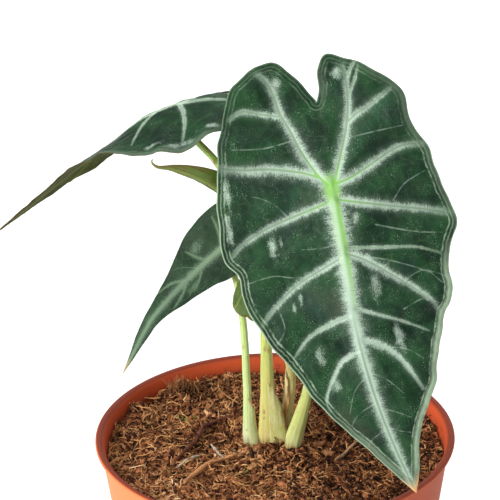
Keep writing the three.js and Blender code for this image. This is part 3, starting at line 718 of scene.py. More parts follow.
def leafTop(name, look):
    settings = {"Specular IOR Level": 0.12, "Sheen Weight": 0.02, "Sheen Roughness": 0.5,
                "Subsurface Weight": 0.04, "Subsurface Scale": 0.0008}
    material, tree = startMaterial(name, settings)
    flat = flatPlace(tree)
    ratio, margin, midrib, glow, share, rimLines = (
        reading(tree, key) for key in ("ratio", "margin", "midrib", "glow", "share", "rimLines"))

    # silver along the veins: its hairs stand square to the nearest vein
    hairs = grain(vector(tree, times(reading(tree, "run"), 2.6), times(ratio, 0.7), 0.0), 1.0, 3.0, 0.7)
    dust = grain(flat, 26.0, 3.0, 0.8)
    clouds = grain(flat, 1.1, 3.0, 0.55, 0.4)
    drift = grain(flat, 0.45, 2.0, 0.5)
    patches = grain(flat, 4.0, 3.0, 0.6)
    ragged = plus(swing(hairs, 1.7), swing(dust, 2.6))
    reach = plus(plus(ratio, ragged), swing(patches, 1.4))
    halo = plus(ratio, plus(swing(dust, 4.0), swing(patches, 3.0)))
    silver = greatest(fade(reach, 1.6, 0.1), times(fade(halo, 2.7, 0.4), 0.12))
    silver = times(silver, reading(tree, "strength"))
    patchEdge = plus(reading(tree, "patch"), plus(swing(dust, 1.6), swing(patches, 1.3)))
    silver = greatest(silver, times(fade(patchEdge, 0.45, 1.25), 0.75))
    silver = times(silver, look["silverShare"])

    # the green ground: mottled, with blue-green and brownish drifts of painted sheen, pale specks and a net of
    # veinlets
    ground = blend(fade(clouds, 0.35, 0.68), look["deep"], look["green"])
    other = grain(stretched(flat, (0.5, 0.7, 1)), 0.9, 2.0, 0.5)
    specks = times(fade(grain(flat, 30.0, 1.0, 0.5), 0.61, 0.7), fade(grain(flat, 2.2), 0.46, 0.66))
    cells = cellEdges(flat, 3.0, 0.95)
    for amount, shade in (
            (times(fade(drift, 0.5, 0.75), 0.45), "paintedSheenTeal"), (times(fade(other, 0.56, 0.75), 0.5), "paintedSheenBrown"),
            (times(fade(patches, 0.52, 0.72), 0.28), "paintedSheenTeal"), (times(fade(dust, 0.5, 0.28), 0.6), "dark"),
            (times(fade(dust, 0.52, 0.74), 0.75), "paintedSheenTeal"), (times(specks, 0.42), "speck"),
            (times(fade(cells, 0.03, 0.0), 0.2), "line")):
        ground = blend(amount, ground, look[shade])
    colour = blend(silver, ground, look["silver"])
    broken = plus(reading(tree, "fine"), swing(dust, 0.25))
    faint = times(fade(broken, 0.34, 0.08), fade(patches, 0.3, 0.6))
    colour = blend(times(faint, 0.3), colour, look["silver"])

    # a dull green line down the middle of each side vein, brighter near the stalk
    centreLine = fade(plus(reading(tree, "centre"), swing(dust, 0.3)), 0.45, 0.1)
    centreLine = times(centreLine, fade(midrib, 0.8, 1.8))
    lineShare = plus(times(fade(share, 0.7, 0.2), 0.5), times(glow, 0.45))
    colour = blend(times(centreLine, lineShare), colour, blend(glow, look["line"], look["bright"]))

    # the midrib itself: pale near the stalk, duller towards the tip
    ribCore = fade(plus(reading(tree, "rib"), swing(dust, 0.7)), 1.5, 0.5)
    ribColour = blend(fade(share, 0.05, 0.4), look["pale"], look["silver"])
    colour = blend(times(ribCore, look["ribShare"]), colour, ribColour)
    ribLine = times(fade(plus(midrib, swing(dust, 0.3)), 0.5, 0.1), fade(share, 0.3, 0.6))
    colour = blend(times(ribLine, 0.6), colour, look["rib"])
    colour = blend(times(fade(reading(tree, "green"), 0.12, 0.85), 0.8), colour, look["bright"])

    # margin: fine pale lines with dark green between, and a pale band on the lower edges
    rim = plus(margin, swing(grain(flat, 7.0), 0.7))
    fromLine = lambda place: maths("ABSOLUTE", minus(rim, place))
    inner = times(fade(fromLine(2.2), 0.34, 0.06), fade(patches, 0.3, 0.62))
    between = times(fade(fromLine(1.3), 0.75, 0.2), minus(1.0, reading(tree, "band")))
    colour = blend(times(times(between, 0.32), rimLines), colour, look["dark"])
    middle = times(fade(fromLine(1.2), 0.3, 0.06), 0.45)
    lines = times(greatest(greatest(times(inner, 0.75), middle), fade(margin, 0.5, 0.1)), rimLines)
    streaked = plus(0.86, times(0.14, maths("SINE", times(rim, 7.5))))
    band = times(times(fade(plus(rim, swing(dust, 1.2)), 2.2, 1.2), reading(tree, "band")), streaked)
    colour = blend(times(greatest(lines, band), 0.8), colour, look["marginPale"])
    colour = blend(times(reading(tree, "tip"), fade(margin, 1.6, 0.3)), colour, look["tip"])
    rough = plus(plus(times(silver, 0.2), times(clouds, 0.2)), 0.46)
    return finishLook(material, colour, plus(times(dust, 0.9), times(cells, 1.2)), 0.0001, 0.7, rough)


underLook = {"ground": ((42, 52, 10), (64, 74, 18)), "vein": (92, 100, 42), "margin": (74, 64, 30)}

def leafUnder(name, look):
    settings = {"Specular IOR Level": 0.06, "Subsurface Weight": 0.05, "Subsurface Scale": 0.0008}
    material, tree = startMaterial(name, settings)
    flat = flatPlace(tree)
    clouds = grain(flat, 1.6, 3.0, 0.6)
    cells = cellEdges(flat, 4.2)
    colour = blend(fade(clouds, 0.3, 0.75), *look["ground"])
    colour = blend(times(fade(cells, 0.05, 0.0), 0.35), colour, look["vein"])
    veins = greatest(fade(reading(tree, "centre"), 0.9, 0.2), fade(reading(tree, "midrib"), 1.4, 0.4))
    veins = greatest(veins, fade(reading(tree, "fine"), 0.4, 0.1))
    colour = blend(times(veins, 0.8), colour, look["vein"])
    colour = blend(times(fade(reading(tree, "margin"), 1.2, 0.1), 0.8), colour, look["margin"])
    return finishLook(material, colour, plus(grain(flat, 50.0), cells), 0.0001, 0.35,
                      plus(times(clouds, 0.25), 0.5))


youngLook = {
    "ground": ((54, 76, 20), (82, 104, 32)), "streak": (72, 48, 24), "rib": (138, 150, 74), "margin": (92, 70, 36),
    "speck": (84, 92, 40),
}

def youngSkin(name, look):
    settings = {"Specular IOR Level": 0.3, "Subsurface Weight": 0.08, "Subsurface Scale": 0.001}
    material, tree = startMaterial(name, settings)
    flat = flatPlace(tree)
    streaks = grain(stretched(flat, (0.8, 7, 1)), 1.6, 3.0, 0.6)
    colour = blend(fade(grain(flat, 1.4), 0.3, 0.7), *look["ground"])
    toward = fade(reading(tree, "share"), 0.1, 0.8)
    colour = blend(times(fade(streaks, 0.45, 0.7), toward), colour, look["streak"])
    ribs = greatest(fade(reading(tree, "midrib"), 0.8, 0.2), fade(reading(tree, "centre"), 0.5, 0.1))
    colour = blend(times(ribs, 0.3), colour, look["rib"])
    colour = blend(times(fade(reading(tree, "margin"), 0.9, 0.1), 0.6), colour, look["margin"])
    colour = blend(times(fade(grain(flat, 30.0, 0.0), 0.7, 0.8), 0.4), colour, look["speck"])
    return finishLook(material, colour, plus(streaks, grain(flat, 40.0)), 0.0001, 0.6,
                      plus(times(streaks, 0.3), 0.3))


darkTop = leafTop("darkLeafTop", darkLook)
softTop = leafTop("softLeafTop", softLook)
paleUnder = leafUnder("leafUnder", underLook)
youngOuter = youngSkin("youngLeafOuter", youngLook)
makeBlade(frontLeaf, darkTop, paleUnder)
makeBlade(leftLeaf, darkTop, paleUnder)
makeBlade(middleLeaf, softTop, paleUnder)
makeBlade(youngLeaf, youngOuter, youngOuter)
print("leaf blades are laid")

# Leaf stalks
# Points stand above the mix in millimetres; the neck that meets the blade is worked out from it.

stalks = [
    {"name": "frontStalk", "node": "front_leaf_petiole", "blade": frontLeaf, "reach": 4.4,
     "points": [(5.6, -1.4, -9.7), (5, -1, 0), (9.5, -1.4, 19.7), (13, -3.4, 41), (16, -6.6, 66)],
     "wide": [2, 2.6, 1.5, 1.4, 1.35, 1.3, 1.3, 1.4], "thin": [1.8, 2, 1.35, 1.3, 1.25, 1.2, 1.2, 1.3],
     "low": (196, 202, 128), "high": (144, 180, 86), "tinge": (184, 196, 108), "specks": 0.5, "blanch": 0.2},
    {"name": "leftStalk", "node": "left_leaf_petiole", "blade": leftLeaf, "reach": 4,
     "points": [(-0.9, 3, -9.7), (-1.5, 2.6, 0), (-2, 2.8, 16), (-2.2, 3, 32), (-2.8, 5, 51), (-7, 7.6, 71),
                (-15.6, 12.2, 86.2)],
     "wide": [2.2, 3.2, 2.1, 1.7, 1.5, 1.3, 1.1, 1, 1, 1], "thin": [1.8, 2, 1.6, 1.4, 1.3, 1.2, 1, 0.9, 0.9, 0.9],
     "low": (206, 198, 124), "high": (112, 166, 56), "tinge": (204, 198, 116), "specks": 0.85, "blanch": 0.05},
    {"name": "middleStalk", "node": "middle_leaf_petiole", "blade": middleLeaf, "reach": 3.4,
     "points": [(-6.2, 2.8, -9.7), (-7.4, 2.8, 0), (-8, 4.4, 19.6), (-8.9, 8.4, 38.4), (-10.9, 13.4, 49.2)],
     "wide": [1.6, 1.9, 1.25, 1.1, 1.05, 0.9, 0.8], "thin": [1.6, 1.7, 1.15, 1, 1, 0.8, 0.7],
     "low": (204, 220, 160), "high": (146, 174, 88), "tinge": (186, 208, 128), "specks": 0.7, "blanch": 0.5},
    {"name": "youngStalk", "node": "young_leaf_petiole", "blade": youngLeaf, "reach": 3,
     "points": [(3, 7.2, -9.7), (3, 6.6, 0), (4.8, 5, 20), (4.2, -1.5, 30.4), (0.6, -8, 40)],
     "wide": [1.5, 1.7, 1.5, 1.3, 1.1, 0.9, 0.8], "thin": [1.5, 1.6, 1.4, 1.2, 1, 0.8, 0.7],
     "low": (218, 204, 148), "high": (146, 168, 84), "tinge": (206, 198, 126), "specks": 0.6, "blanch": 0.1},
]
stalkShape = {
    "sides": 40, "rows": 190, "ridges": 11, "ridgeDepth": 0.045, "buried": 9.7,
    "blanched": (236, 240, 214), "stained": (126, 88, 50), "speck": (142, 104, 58),
}

def stalkPoints(stalk):
    blade, reach = stalk["blade"], stalk["reach"]
    joint = layFlat(blade, np.array([[0.0, 0.0]]))[0] - (0, 0, mixLevel / mm)
    up = blade["ups"][blade["joins"]]
    necks = [(reach + 0.8, reach * 1.2), (reach * 0.45 + 0.8, 0), (0.5, 0)]
    return stalk["points"] + [tuple(joint - up * below - np.array((0, 0, sink))) for below, sink in necks]


# A closed round bar along a line; "shape" changes its radius by turn, share along and length along.
def makeBar(name, points, halfWide, halfThin, rows, sides, shape, wide=(1, 0, 0.2)):
    line, lengths = evenLine(points, rows)
    forward = np.gradient(line, axis=0)
    forward /= np.linalg.norm(forward, axis=1)[:, None]
    thinWay = np.cross(np.array(wide, dtype=float), forward)
    thinWay /= np.linalg.norm(thinWay, axis=1)[:, None]
    wideWay = np.cross(forward, thinWay)
    share = np.linspace(0, 1, rows)
    across = np.interp(share, np.linspace(0, 1, len(halfWide)), halfWide)
    through = np.interp(share, np.linspace(0, 1, len(halfThin)), halfThin)
    turn = np.linspace(0, 2 * math.pi, sides, endpoint=False)
    swell = shape(turn[None, :], share[:, None], lengths[:, None])
    ring = (line[:, None, :] + wideWay[:, None, :] * (across[:, None] * np.cos(turn) * swell)[:, :, None]
            + thinWay[:, None, :] * (through[:, None] * np.sin(turn) * swell)[:, :, None])
    points = np.vstack([ring.reshape(-1, 3), line[:1], line[-1:]])
    faces = [face[::-1] for face in ringFaces(rows, sides)]
    last, top = (rows - 1) * sides, rows * sides
    for i in range(sides):
        j = (i + 1) % sides
        faces += [(i, j, top), (last + j, last + i, top + 1)]
    turns = np.concatenate([np.tile(turn, rows), [0, 0]])
    made = meshObject(name, onMix(points), faces)
    addNumbers(made, "height", np.concatenate([np.repeat(lengths, sides), lengths[[0, -1]]]))
    addNumbers(made, "roundX", np.cos(turns))
    addNumbers(made, "roundY", np.sin(turns))
    return made


def stalkSkin(stalk):
    settings = {"Specular IOR Level": 0.45, "Subsurface Weight": 0.18, "Subsurface Scale": 0.0012,
                "Coat Weight": 0.08, "Coat Roughness": 0.4}
    material, tree = startMaterial(stalk["name"] + "Skin", settings)
    height, place = reading(tree, "height"), objectPlace(tree)
    around = vector(tree, times(reading(tree, "roundX"), 3.0), times(reading(tree, "roundY"), 3.0),
                    times(height, 0.12))
    streaks = grain(around, 1.6, 3.0, 0.6)
    cloud = grain(stretched(place, (1, 1, 0.4)), 260.0, 3.0, 0.6)
    colour = blend(fade(height, 14.0, 62.0), stalk["low"], stalk["high"])
    colour = blend(fade(streaks, 0.4, 0.68), colour, stalk["tinge"])
    foot = plus(height, times(cloud, 7.0))
    colour = blend(times(fade(foot, 26.0, 13.0), stalk["blanch"]), colour, stalkShape["blanched"])
    stain = plus(height, swing(streaks, 6.0))
    colour = blend(times(fade(stain, 14.6, 10.8), 0.7), colour, stalkShape["stained"])
    spots = add(tree, "ShaderNodeTexVoronoi", {"Vector": stretched(place, (1, 1, 0.5)), "Scale": 640.0})
    few = fade(grain(stretched(place, (1, 1, 0.6)), 420.0), 0.48, 0.64)
    dots = times(fade(spots.outputs["Distance"], 0.42, 0.14), few)
    colour = blend(times(dots, stalk["specks"]), colour, stalkShape["speck"])
    return finishLook(material, colour, plus(streaks, times(cloud, 0.7)), 0.00016, 0.7,
                      plus(times(cloud, 0.25), 0.34))


def makeStalk(stalk):
    def ridged(turn, share, length):
        ridges = np.sin(turn * stalkShape["ridges"] + 0.05 * length) + 0.6 * np.sin(turn * 5 + 2)
        channel = -0.13 * np.exp(-((turn - 1.5 * math.pi) / 0.5) ** 2) * np.clip(share * 3 - 0.6, 0, 1)
        return 1 + stalkShape["ridgeDepth"] * ridges * 0.6 + channel + 0.012 * np.sin(length * 0.7 + turn)
    made = makeBar(stalk["name"], stalkPoints(stalk), stalk["wide"], stalk["thin"], stalkShape["rows"],
                   stalkShape["sides"], ridged)
    finishPiece(made, "stalk", stalk["node"], stalkSkin(stalk))

for stalk in stalks:
    makeStalk(stalk)
print("stalks stand")

# Sheaths: thin curved strips that wrap the feet of the stalks, with a dry papery edge. Each turns round its
# stalk between two angles, and its free edge stands off by "reach" at foot and top.

sheaths = [
    {"name": "middleSheath", "node": "dry_sheath_middle", "stalk": 2, "foot": -3, "top": 15.5, "from": -85, "to": 12,
     "reach": (2.0, 0.3), "dry": 0.45, "green": (194, 212, 146)},
    {"name": "youngSheath", "node": "dry_sheath_young", "stalk": 3, "foot": -2, "top": 27, "from": 196, "to": 262,
     "reach": (0.9, 0.7), "dry": 0.5, "green": (214, 200, 144)},
    {"name": "leftSheath", "node": None, "stalk": 1, "foot": -3, "top": 21, "from": -84, "to": 8,
     "reach": (5.2, 1.1), "dry": 0.38, "green": (194, 190, 116)},
]
sheathShape = {
    "rows": 70, "columns": 26, "thickness": 0.24,
    "pale": (214, 216, 162), "paperDark": (126, 76, 40), "paperLight": (208, 164, 108),
}

def sheathSkin(sheath):
    settings = {"Specular IOR Level": 0.35, "Subsurface Weight": 0.15, "Subsurface Scale": 0.001}
    material, tree = startMaterial(sheath["name"] + "Skin", settings)
    place = objectPlace(tree)
    fibres = grain(stretched(place, (1, 1, 0.12)), 1500.0, 3.0, 0.65)
    cloud = grain(place, 420.0, 3.0, 0.6)
    colour = blend(fade(fibres, 0.35, 0.7), sheath["green"], sheathShape["pale"])
    dry = plus(reading(tree, "edge"), swing(cloud, 0.5))
    edge = fade(dry, 1.0 - sheath["dry"], 1.12 - sheath["dry"] * 0.7)
    paper = blend(fade(fibres, 0.4, 0.62), sheathShape["paperDark"], sheathShape["paperLight"])
    colour = blend(edge, colour, paper)
    return finishLook(material, colour, plus(fibres, cloud), 0.00018, 0.8, plus(times(edge, 0.3), 0.42))


def makeSheath(sheath):
    stalk = stalks[sheath["stalk"]]
    line, lengths = evenLine(stalkPoints(stalk), 300)
    rows, columns = sheathShape["rows"], sheathShape["columns"]
    upwards = np.linspace(0, 1, rows)[:, None]
    sideways = np.linspace(0, 1, columns)[None, :]
    ragged = 0.05 * np.sin(sideways * 19 + 1) + 0.03 * np.sin(sideways * 43)
    top = sheath["top"] * (1 - 0.42 * sideways ** 2.2 + ragged * 0.5)       # the free edge is lower
    heights = sheath["foot"] + (top - sheath["foot"]) * upwards
    atFoot, atTop = sheath["reach"]
    away = sideways ** 1.7 * (atTop + (atFoot - atTop) * (1 - upwards) ** 0.9) + 0.18
    away = away + 0.22 * sideways * np.sin(heights * 0.55 + 1)
    angle = np.radians(sheath["from"] + (sheath["to"] - sheath["from"]) * sideways)
    angle = angle + 0.12 * np.sin(upwards * 9) * sideways
    fraction = np.clip((heights + stalkShape["buried"]) / lengths[-1], 0, 1)
    spots = fraction * (len(line) - 1)
    centre = np.stack([np.interp(spots, np.arange(len(line)), line[:, i]) for i in range(3)], axis=-1)
    taper = sheathShape["thickness"] * (1 - 0.7 * sideways ** 3) * (1 - 0.6 * upwards ** 4)
    inner = centre.copy()
    outer = centre.copy()
    for axis, half, way in ((0, stalk["wide"], np.cos(angle)), (1, stalk["thin"], np.sin(angle))):
        inner[..., axis] += (np.interp(fraction, np.linspace(0, 1, len(half)), half) + away) * way
        outer[..., axis] = inner[..., axis] + taper * way
    places = np.vstack([inner.reshape(-1, 3), outer.reshape(-1, 3)])
    count = rows * columns
    at = lambda row, column: row * columns + column
    faces = []
    for row in range(rows - 1):
        for column in range(columns - 1):
            square = (at(row, column), at(row, column + 1), at(row + 1, column + 1), at(row + 1, column))
            faces.append(square[::-1])
            faces.append(tuple(corner + count for corner in square))
    border = [at(0, c) for c in range(columns)] + [at(r, columns - 1) for r in range(1, rows)]
    border += [at(rows - 1, c) for c in range(columns - 2, -1, -1)] + [at(r, 0) for r in range(rows - 2, 0, -1)]
    for first, second in zip(border, border[1:] + border[:1]):
        faces.append((first, second, second + count, first + count))
    made = meshObject(sheath["name"], onMix(places), faces)
    addNumbers(made, "edge", np.tile(np.maximum(sideways, 0.75 * upwards ** 3).ravel(), 2))
    finishPiece(made, "dry_sheath", sheath["node"], sheathSkin(sheath))

for sheath in sheaths:
    makeSheath(sheath)
print("sheaths wrap the stalks")

# Pot

pot = {
    "lipWidth": 1.5, "lipHeight": 1.4, "wall": 0.9, "floor": 1.4, "baseRadius": 38.5, "chamfer": 1.2,
    "holes": 8, "holeRadius": 3.4, "holeInset": 12.5, "holeSides": 40, "sides": 288,
    # the lit side, the shaded side, the inner and the lip colours are painted light and shade
    "paintedLitSide": (228, 124, 76), "paintedShadeSide": (164, 72, 40), "cloud": (212, 108, 62), "speck": (196, 98, 62),
    "inner": (198, 82, 44), "lip": (128, 52, 30), "dirt": (96, 52, 34),
}
lipInner = lipRadius - (pot["lipWidth"] + pot["wall"]) * mm

def potPlastic():
    settings = {"Specular IOR Level": 0.2, "Subsurface Weight": 0.1, "Subsurface Scale": 0.0012}
    material, tree = startMaterial("potPlastic", settings)
    place = objectPlace(tree)
    cloud = grain(place, 30.0, 3.0, 0.55)
    fine = grain(place, 900.0)
    draw = grain(stretched(place, (1, 1, 0.06)), 520.0, 2.0, 0.55)
    rub = grain(stretched(place, (0.25, 0.25, 5.0)), 140.0, 3.0, 0.65)
    # painted light and shade: the pot is lighter on its left, where the key light falls, and darker on its right
    colour = blend(fade(part(place, 0), -45 * mm, 50 * mm), pot["paintedLitSide"], pot["paintedShadeSide"])
    colour = blend(times(fade(cloud, 0.3, 0.7), 0.22), colour, pot["cloud"])
    colour = blend(times(fade(fine, 0.55, 0.8), 0.25), colour, pot["speck"])
    # painted shade: the inside of the pot is a darker, redder orange than its lit outside
    colour = blend(times(reading(tree, "inside"), 0.95), colour, pot["inner"])
    # painted shade: the top of the lip is dark, where little light falls from above
    colour = blend(reading(tree, "lip"), colour, pot["lip"])
    soil = plus(reading(tree, "soilLine"), swing(cloud, 0.7))
    specks = fade(grain(place, 520.0), 0.52, 0.7)
    dirt = times(fade(soil, 0.35, 1.0), plus(0.25, times(specks, 0.6)))
    colour = blend(dirt, colour, pot["dirt"])
    rough = plus(plus(0.48, times(rub, 0.16)), times(fine, 0.1))
    return finishLook(material, colour, plus(times(draw, 0.5), times(fine, 0.3)), 0.00008, 0.5, rough)


# The pot's outline, as [radius, height] from the foot over the lip to the floor inside.
def potOutline():
    lip, height, base = lipRadius / mm, potHeight / mm, pot["baseRadius"]
    shoulder, under, bead = lip - pot["lipWidth"], height - pot["lipHeight"], pot["lipHeight"] / 2
    outline = [(base - pot["chamfer"], 0), (base - 0.35, 0.3), (base, pot["chamfer"])]
    for share in np.linspace(0.05, 0.985, 16):
        outline.append((base + (shoulder - base) * share, pot["chamfer"] + (under - pot["chamfer"]) * share))
    outline.append((shoulder + 0.06, under - 0.05))
    for angle in np.radians(np.arange(-90, 91, 18)):
        outline.append((lip - bead * 0.9 + bead * 0.9 * math.cos(angle), height - bead + bead * math.sin(angle)))
    inner = shoulder - pot["wall"]
    outline += [(inner + 1.15, height - 0.05), (inner + 0.6, height - 0.3), (inner + 0.2, height - 0.7),
                (inner - 0.1, height - 1.3)]
    foot = base - pot["wall"]
    for share in np.linspace(0.96, 0.02, 14):
        outline.append((foot + (inner - 0.1 - foot) * share, pot["floor"] + (height - 1.2 - pot["floor"]) * share))
    return outline + [(foot - 0.3, pot["floor"] + 0.25), (foot - 0.9, pot["floor"])]


# A flat sheet inside a ring of the pot, pierced by its drain holes.
def floorSheet(ring, holes, centres, z):
    edges, start = [], 0
    for loop in [ring] + holes:
        edges += [(start + i, start + (i + 1) % len(loop)) for i in range(len(loop))]
        start += len(loop)
    flat = np.vstack([ring] + holes + [np.zeros((1, 2))])
    found = delaunay_2d_cdt([Vector(point) for point in flat], edges, [], 1, 1e-6)
    corners = np.array([tuple(corner) for corner in found[0]])
    nearHole = pot["holeRadius"] * 0.994
    faces = []
    for face in found[2]:
        middle = corners[list(face)].mean(axis=0)
        if all(math.hypot(middle[0] - x, middle[1] - y) >= nearHole for x, y in centres):
            faces.append(tuple(face))
    return np.column_stack([corners, np.full(len(corners), z)]), faces


def makePot():
    lip, height, base, sides = lipRadius / mm, potHeight / mm, pot["baseRadius"], pot["sides"]
    turn = np.linspace(0, 2 * math.pi, sides, endpoint=False)
    rings = [np.stack([r * np.cos(turn), r * np.sin(turn), np.full(sides, z)], axis=1) for r, z in potOutline()]
    points = np.vstack(rings)
    faces = ringFaces(len(rings), sides)

    # the floor, with its drain holes
    holeSides = pot["holeSides"]
    holeTurn = np.linspace(0, 2 * math.pi, holeSides, endpoint=False)
    holeCircle = np.stack([np.cos(holeTurn), np.sin(holeTurn)], axis=1)
    centres = [((base - pot["holeInset"]) * math.cos((k + 0.5) * 2 * math.pi / pot["holes"]),
                (base - pot["holeInset"]) * math.sin((k + 0.5) * 2 * math.pi / pot["holes"]))
               for k in range(pot["holes"])]
    holes = [centre + pot["holeRadius"] * holeCircle for centre in centres]
    for ring, z, order in ((rings[0], 0, -1), (rings[-1], pot["floor"], 1)):
        corners, found = floorSheet(ring[:, :2], holes, centres, z)
        faces += [tuple(len(points) + corner for corner in face[::order]) for face in found]
        points = np.vstack([points, corners])
    for hole in holes:
        faces += [face[::-1] for face in ringFaces(2, holeSides, len(points))]
        points = np.vstack([points] + [np.column_stack([hole, np.full(holeSides, z)]) for z in (0, pot["floor"])])
    made = meshObject("potShell", points * mm, faces)
    radius = np.hypot(points[:, 0], points[:, 1])
    wallMiddle = base + (lip - base) * points[:, 2] / height - 1.3
    # the inside of the pot is a mask for painted shade in potPlastic
    inside = (radius < wallMiddle) & (points[:, 2] > pot["floor"] * 0.6)
    # the top of the lip is a mask for painted shade in potPlastic
    lipTop = np.clip((points[:, 2] - height + 0.9) / 0.6, 0, 1) * np.clip((lip + 0.05 - radius) / 0.5, 0, 1)
    addNumbers(made, "inside", inside)
    addNumbers(made, "lip", lipTop)
    addNumbers(made, "soilLine", np.where(inside, np.clip((height - points[:, 2]) / 5, 0, 2), 0))
    finishPiece(made, "pot_plastic", "pot", potPlastic())

makePot()
print("pot is turned")

# Potting mix: a lumpy bed, then crumbs, flakes and fibres scattered over it

mix = {
    "heaps": [(-33, -26, 2.6, 13), (-29, 32, 3.2, 5), (-40, 8, 1.6, 9), (0, 3, 1.2, 12), (30, -28, 1.4, 12),
              (-13, 44, 2.2, 3.6), (-42, 23, 2, 4), (-21, 40, 1.8, 3), (-14, 12, -1.6, 5), (14, -18, 1.2, 4)],
    "rings": 92, "sides": 300, "lumps": 1.15, "depth": 12, "rimGap": 1.202,
    # the finishes, each from dark to pale
    "peat": ((24, 12, 7), (78, 42, 24), (172, 110, 70), (236, 194, 146)),
    "coir": ((52, 28, 14), (122, 72, 40), (212, 158, 102), (244, 214, 166)),
    "chip": ((62, 36, 20), (128, 82, 50), (184, 132, 88), (214, 176, 132)),
    "tuft": ((62, 36, 20), (120, 76, 46), (168, 118, 78), (206, 168, 122)),
    "moss": ((62, 92, 24), (96, 138, 40), (138, 178, 66), (176, 206, 104)),
}

def mixHeight(x, y):
    height = 0.55 * np.sin(x / 5.3 + 1) * np.cos(y / 6.1) + 0.3 * np.sin((x + y) / 3.1)
    for heapX, heapY, rise, width in mix["heaps"]:
        height = height + rise * np.exp(-((x - heapX) ** 2 + (y - heapY) ** 2) / width ** 2)
    return height


# The highest place of the mix round a spot, looked for at that distance.
def highestNear(x, y, away):
    around = ((0, 0), (away, 0), (-away, 0), (0, away), (0, -away))
    return np.max([mixHeight(x + dx, y + dy) for dx, dy in around], axis=0)


def mixFinish(name, shades):
    material, tree = startMaterial(name, {"Specular IOR Level": 0.22, "Roughness": 0.9})
    place = objectPlace(tree)
    cloud = grain(place, 90.0, 3.0, 0.6)
    fine = grain(place, 1600.0, 3.0, 0.7)
    value = plus(plus(times(reading(tree, "tone"), 0.85), times(fine, 0.3)), swing(cloud, 0.75))
    # painted shade: every finish made here darkens towards the right (+x), where the leaves shade the mix
    paintedShadeRight = fade(part(place, 0), -4 * mm, 22 * mm)
    value = minus(value, times(paintedShadeRight, 0.18))
    dark, middle, light, pale = shades
    colour = blend(fade(value, 0.14, 0.46), dark, middle)
    colour = blend(fade(value, 0.42, 0.74), colour, light)
    colour = blend(fade(value, 0.88, 1.14), colour, pale)
    return finishLook(material, colour, fine, 0.0003, 0.9)


def makeBed():
    rings, sides = mix["rings"], mix["sides"]
    edge = lipInner / mm - mix["rimGap"]
    radii = edge * np.linspace(1, 0, rings, endpoint=False)
    turn = np.linspace(0, 2 * math.pi, sides, endpoint=False)
    x = np.concatenate([(radii[:, None] * np.cos(turn)).ravel(), [0]])
    y = np.concatenate([(radii[:, None] * np.sin(turn)).ravel(), [0]])
    flat = np.stack([x, y], axis=1)
    lumps = np.array([noise.fractal(Vector((px / 3.1, py / 3.1, 2.0)), 1.0, 2.0, 4) for px, py in flat])
    z = mixHeight(x, y) + lumps * mix["lumps"] + 0.12 * waves(flat, 1.4, 8)
    foot = [(0.9 * edge * math.cos(angle), 0.9 * edge * math.sin(angle), -mix["depth"]) for angle in turn]
    points = np.vstack([np.stack([x, y, z], axis=1), foot, [(0, 0, -mix["depth"])]])
    faces = ringFaces(rings, sides)
    last, top = (rings - 1) * sides, rings * sides
    low = top + 1
    for i in range(sides):
        j = (i + 1) % sides
        faces += [(last + i, last + j, top), (low + i, low + j, j, i), (low + j, low + i, low + sides)]
    bed = meshObject("mixBed", onMix(points), faces)
    # painted shade and light: the bed's colour is darker in its hollows and lighter on its bumps
    addNumbers(bed, "tone", np.concatenate([0.12 + 0.25 * np.clip(lumps, -0.5, 1), np.zeros(sides + 1)]))
    return bed


# Small irregular pieces that the scatter picks from; they are deleted once it is done.
def crumbShape(rng, roughness, flatness):
    golden = (1 + 5 ** 0.5) / 2
    corners = [(-1, golden, 0), (1, golden, 0), (-1, -golden, 0), (1, -golden, 0), (0, -1, golden), (0, 1, golden),
               (0, -1, -golden), (0, 1, -golden), (golden, 0, -1), (golden, 0, 1), (-golden, 0, -1), (-golden, 0, 1)]
    faces = [(0, 11, 5), (0, 5, 1), (0, 1, 7), (0, 7, 10), (0, 10, 11), (1, 5, 9), (5, 11, 4), (11, 10, 2),
             (10, 7, 6), (7, 1, 8), (3, 9, 4), (3, 4, 2), (3, 2, 6), (3, 6, 8), (3, 8, 9), (4, 9, 5), (2, 4, 11),
             (6, 2, 10), (8, 6, 7), (9, 8, 1)]
    stretch = (rng.uniform(0.8, 1.5), rng.uniform(0.6, 1), flatness)
    points = [[c * s * rng.uniform(1 - roughness, 1 + roughness) * 0.26 for c, s in zip(corner, stretch)]
              for corner in corners]
    return points, faces


def fibreShape(rng, bend, thickness, steps=5):
    turns = [rng.uniform(-bend, bend) for _ in range(steps)]
    tilts = [rng.uniform(-bend, bend) * 0.6 for _ in range(steps)]
    place, heading, tilt = [-0.5, 0.0, 0.0], -sum(turns) / 2, -sum(tilts) / 2
    points = []
    for row in range(steps + 1):
        radius = thickness * (0.35 if row in (0, steps) else 1)
        for angle in (0, 2 * math.pi / 3, 4 * math.pi / 3):
            points.append((place[0] - math.sin(heading) * radius * math.cos(angle),
                           place[1] + math.cos(heading) * radius * math.cos(angle),
                           place[2] + radius * math.sin(angle)))
        if row < steps:
            heading += turns[row]
            tilt += tilts[row]
            place = [place[0] + math.cos(heading) / steps, place[1] + math.sin(heading) / steps,
                     place[2] + math.sin(tilt) / steps]
    return points, ringFaces(steps + 1, 3) + [(2, 1, 0), (steps * 3, steps * 3 + 1, steps * 3 + 2)]


def shapeSet(name, shapes):
    group = bpy.data.collections.new(name)
    for i, (points, faces) in enumerate(shapes):
        mesh = bpy.data.meshes.new(f"{name}{i}")
        mesh.from_pydata(points, [], faces)
        group.objects.link(bpy.data.objects.new(f"{name}{i}", mesh))
    return group


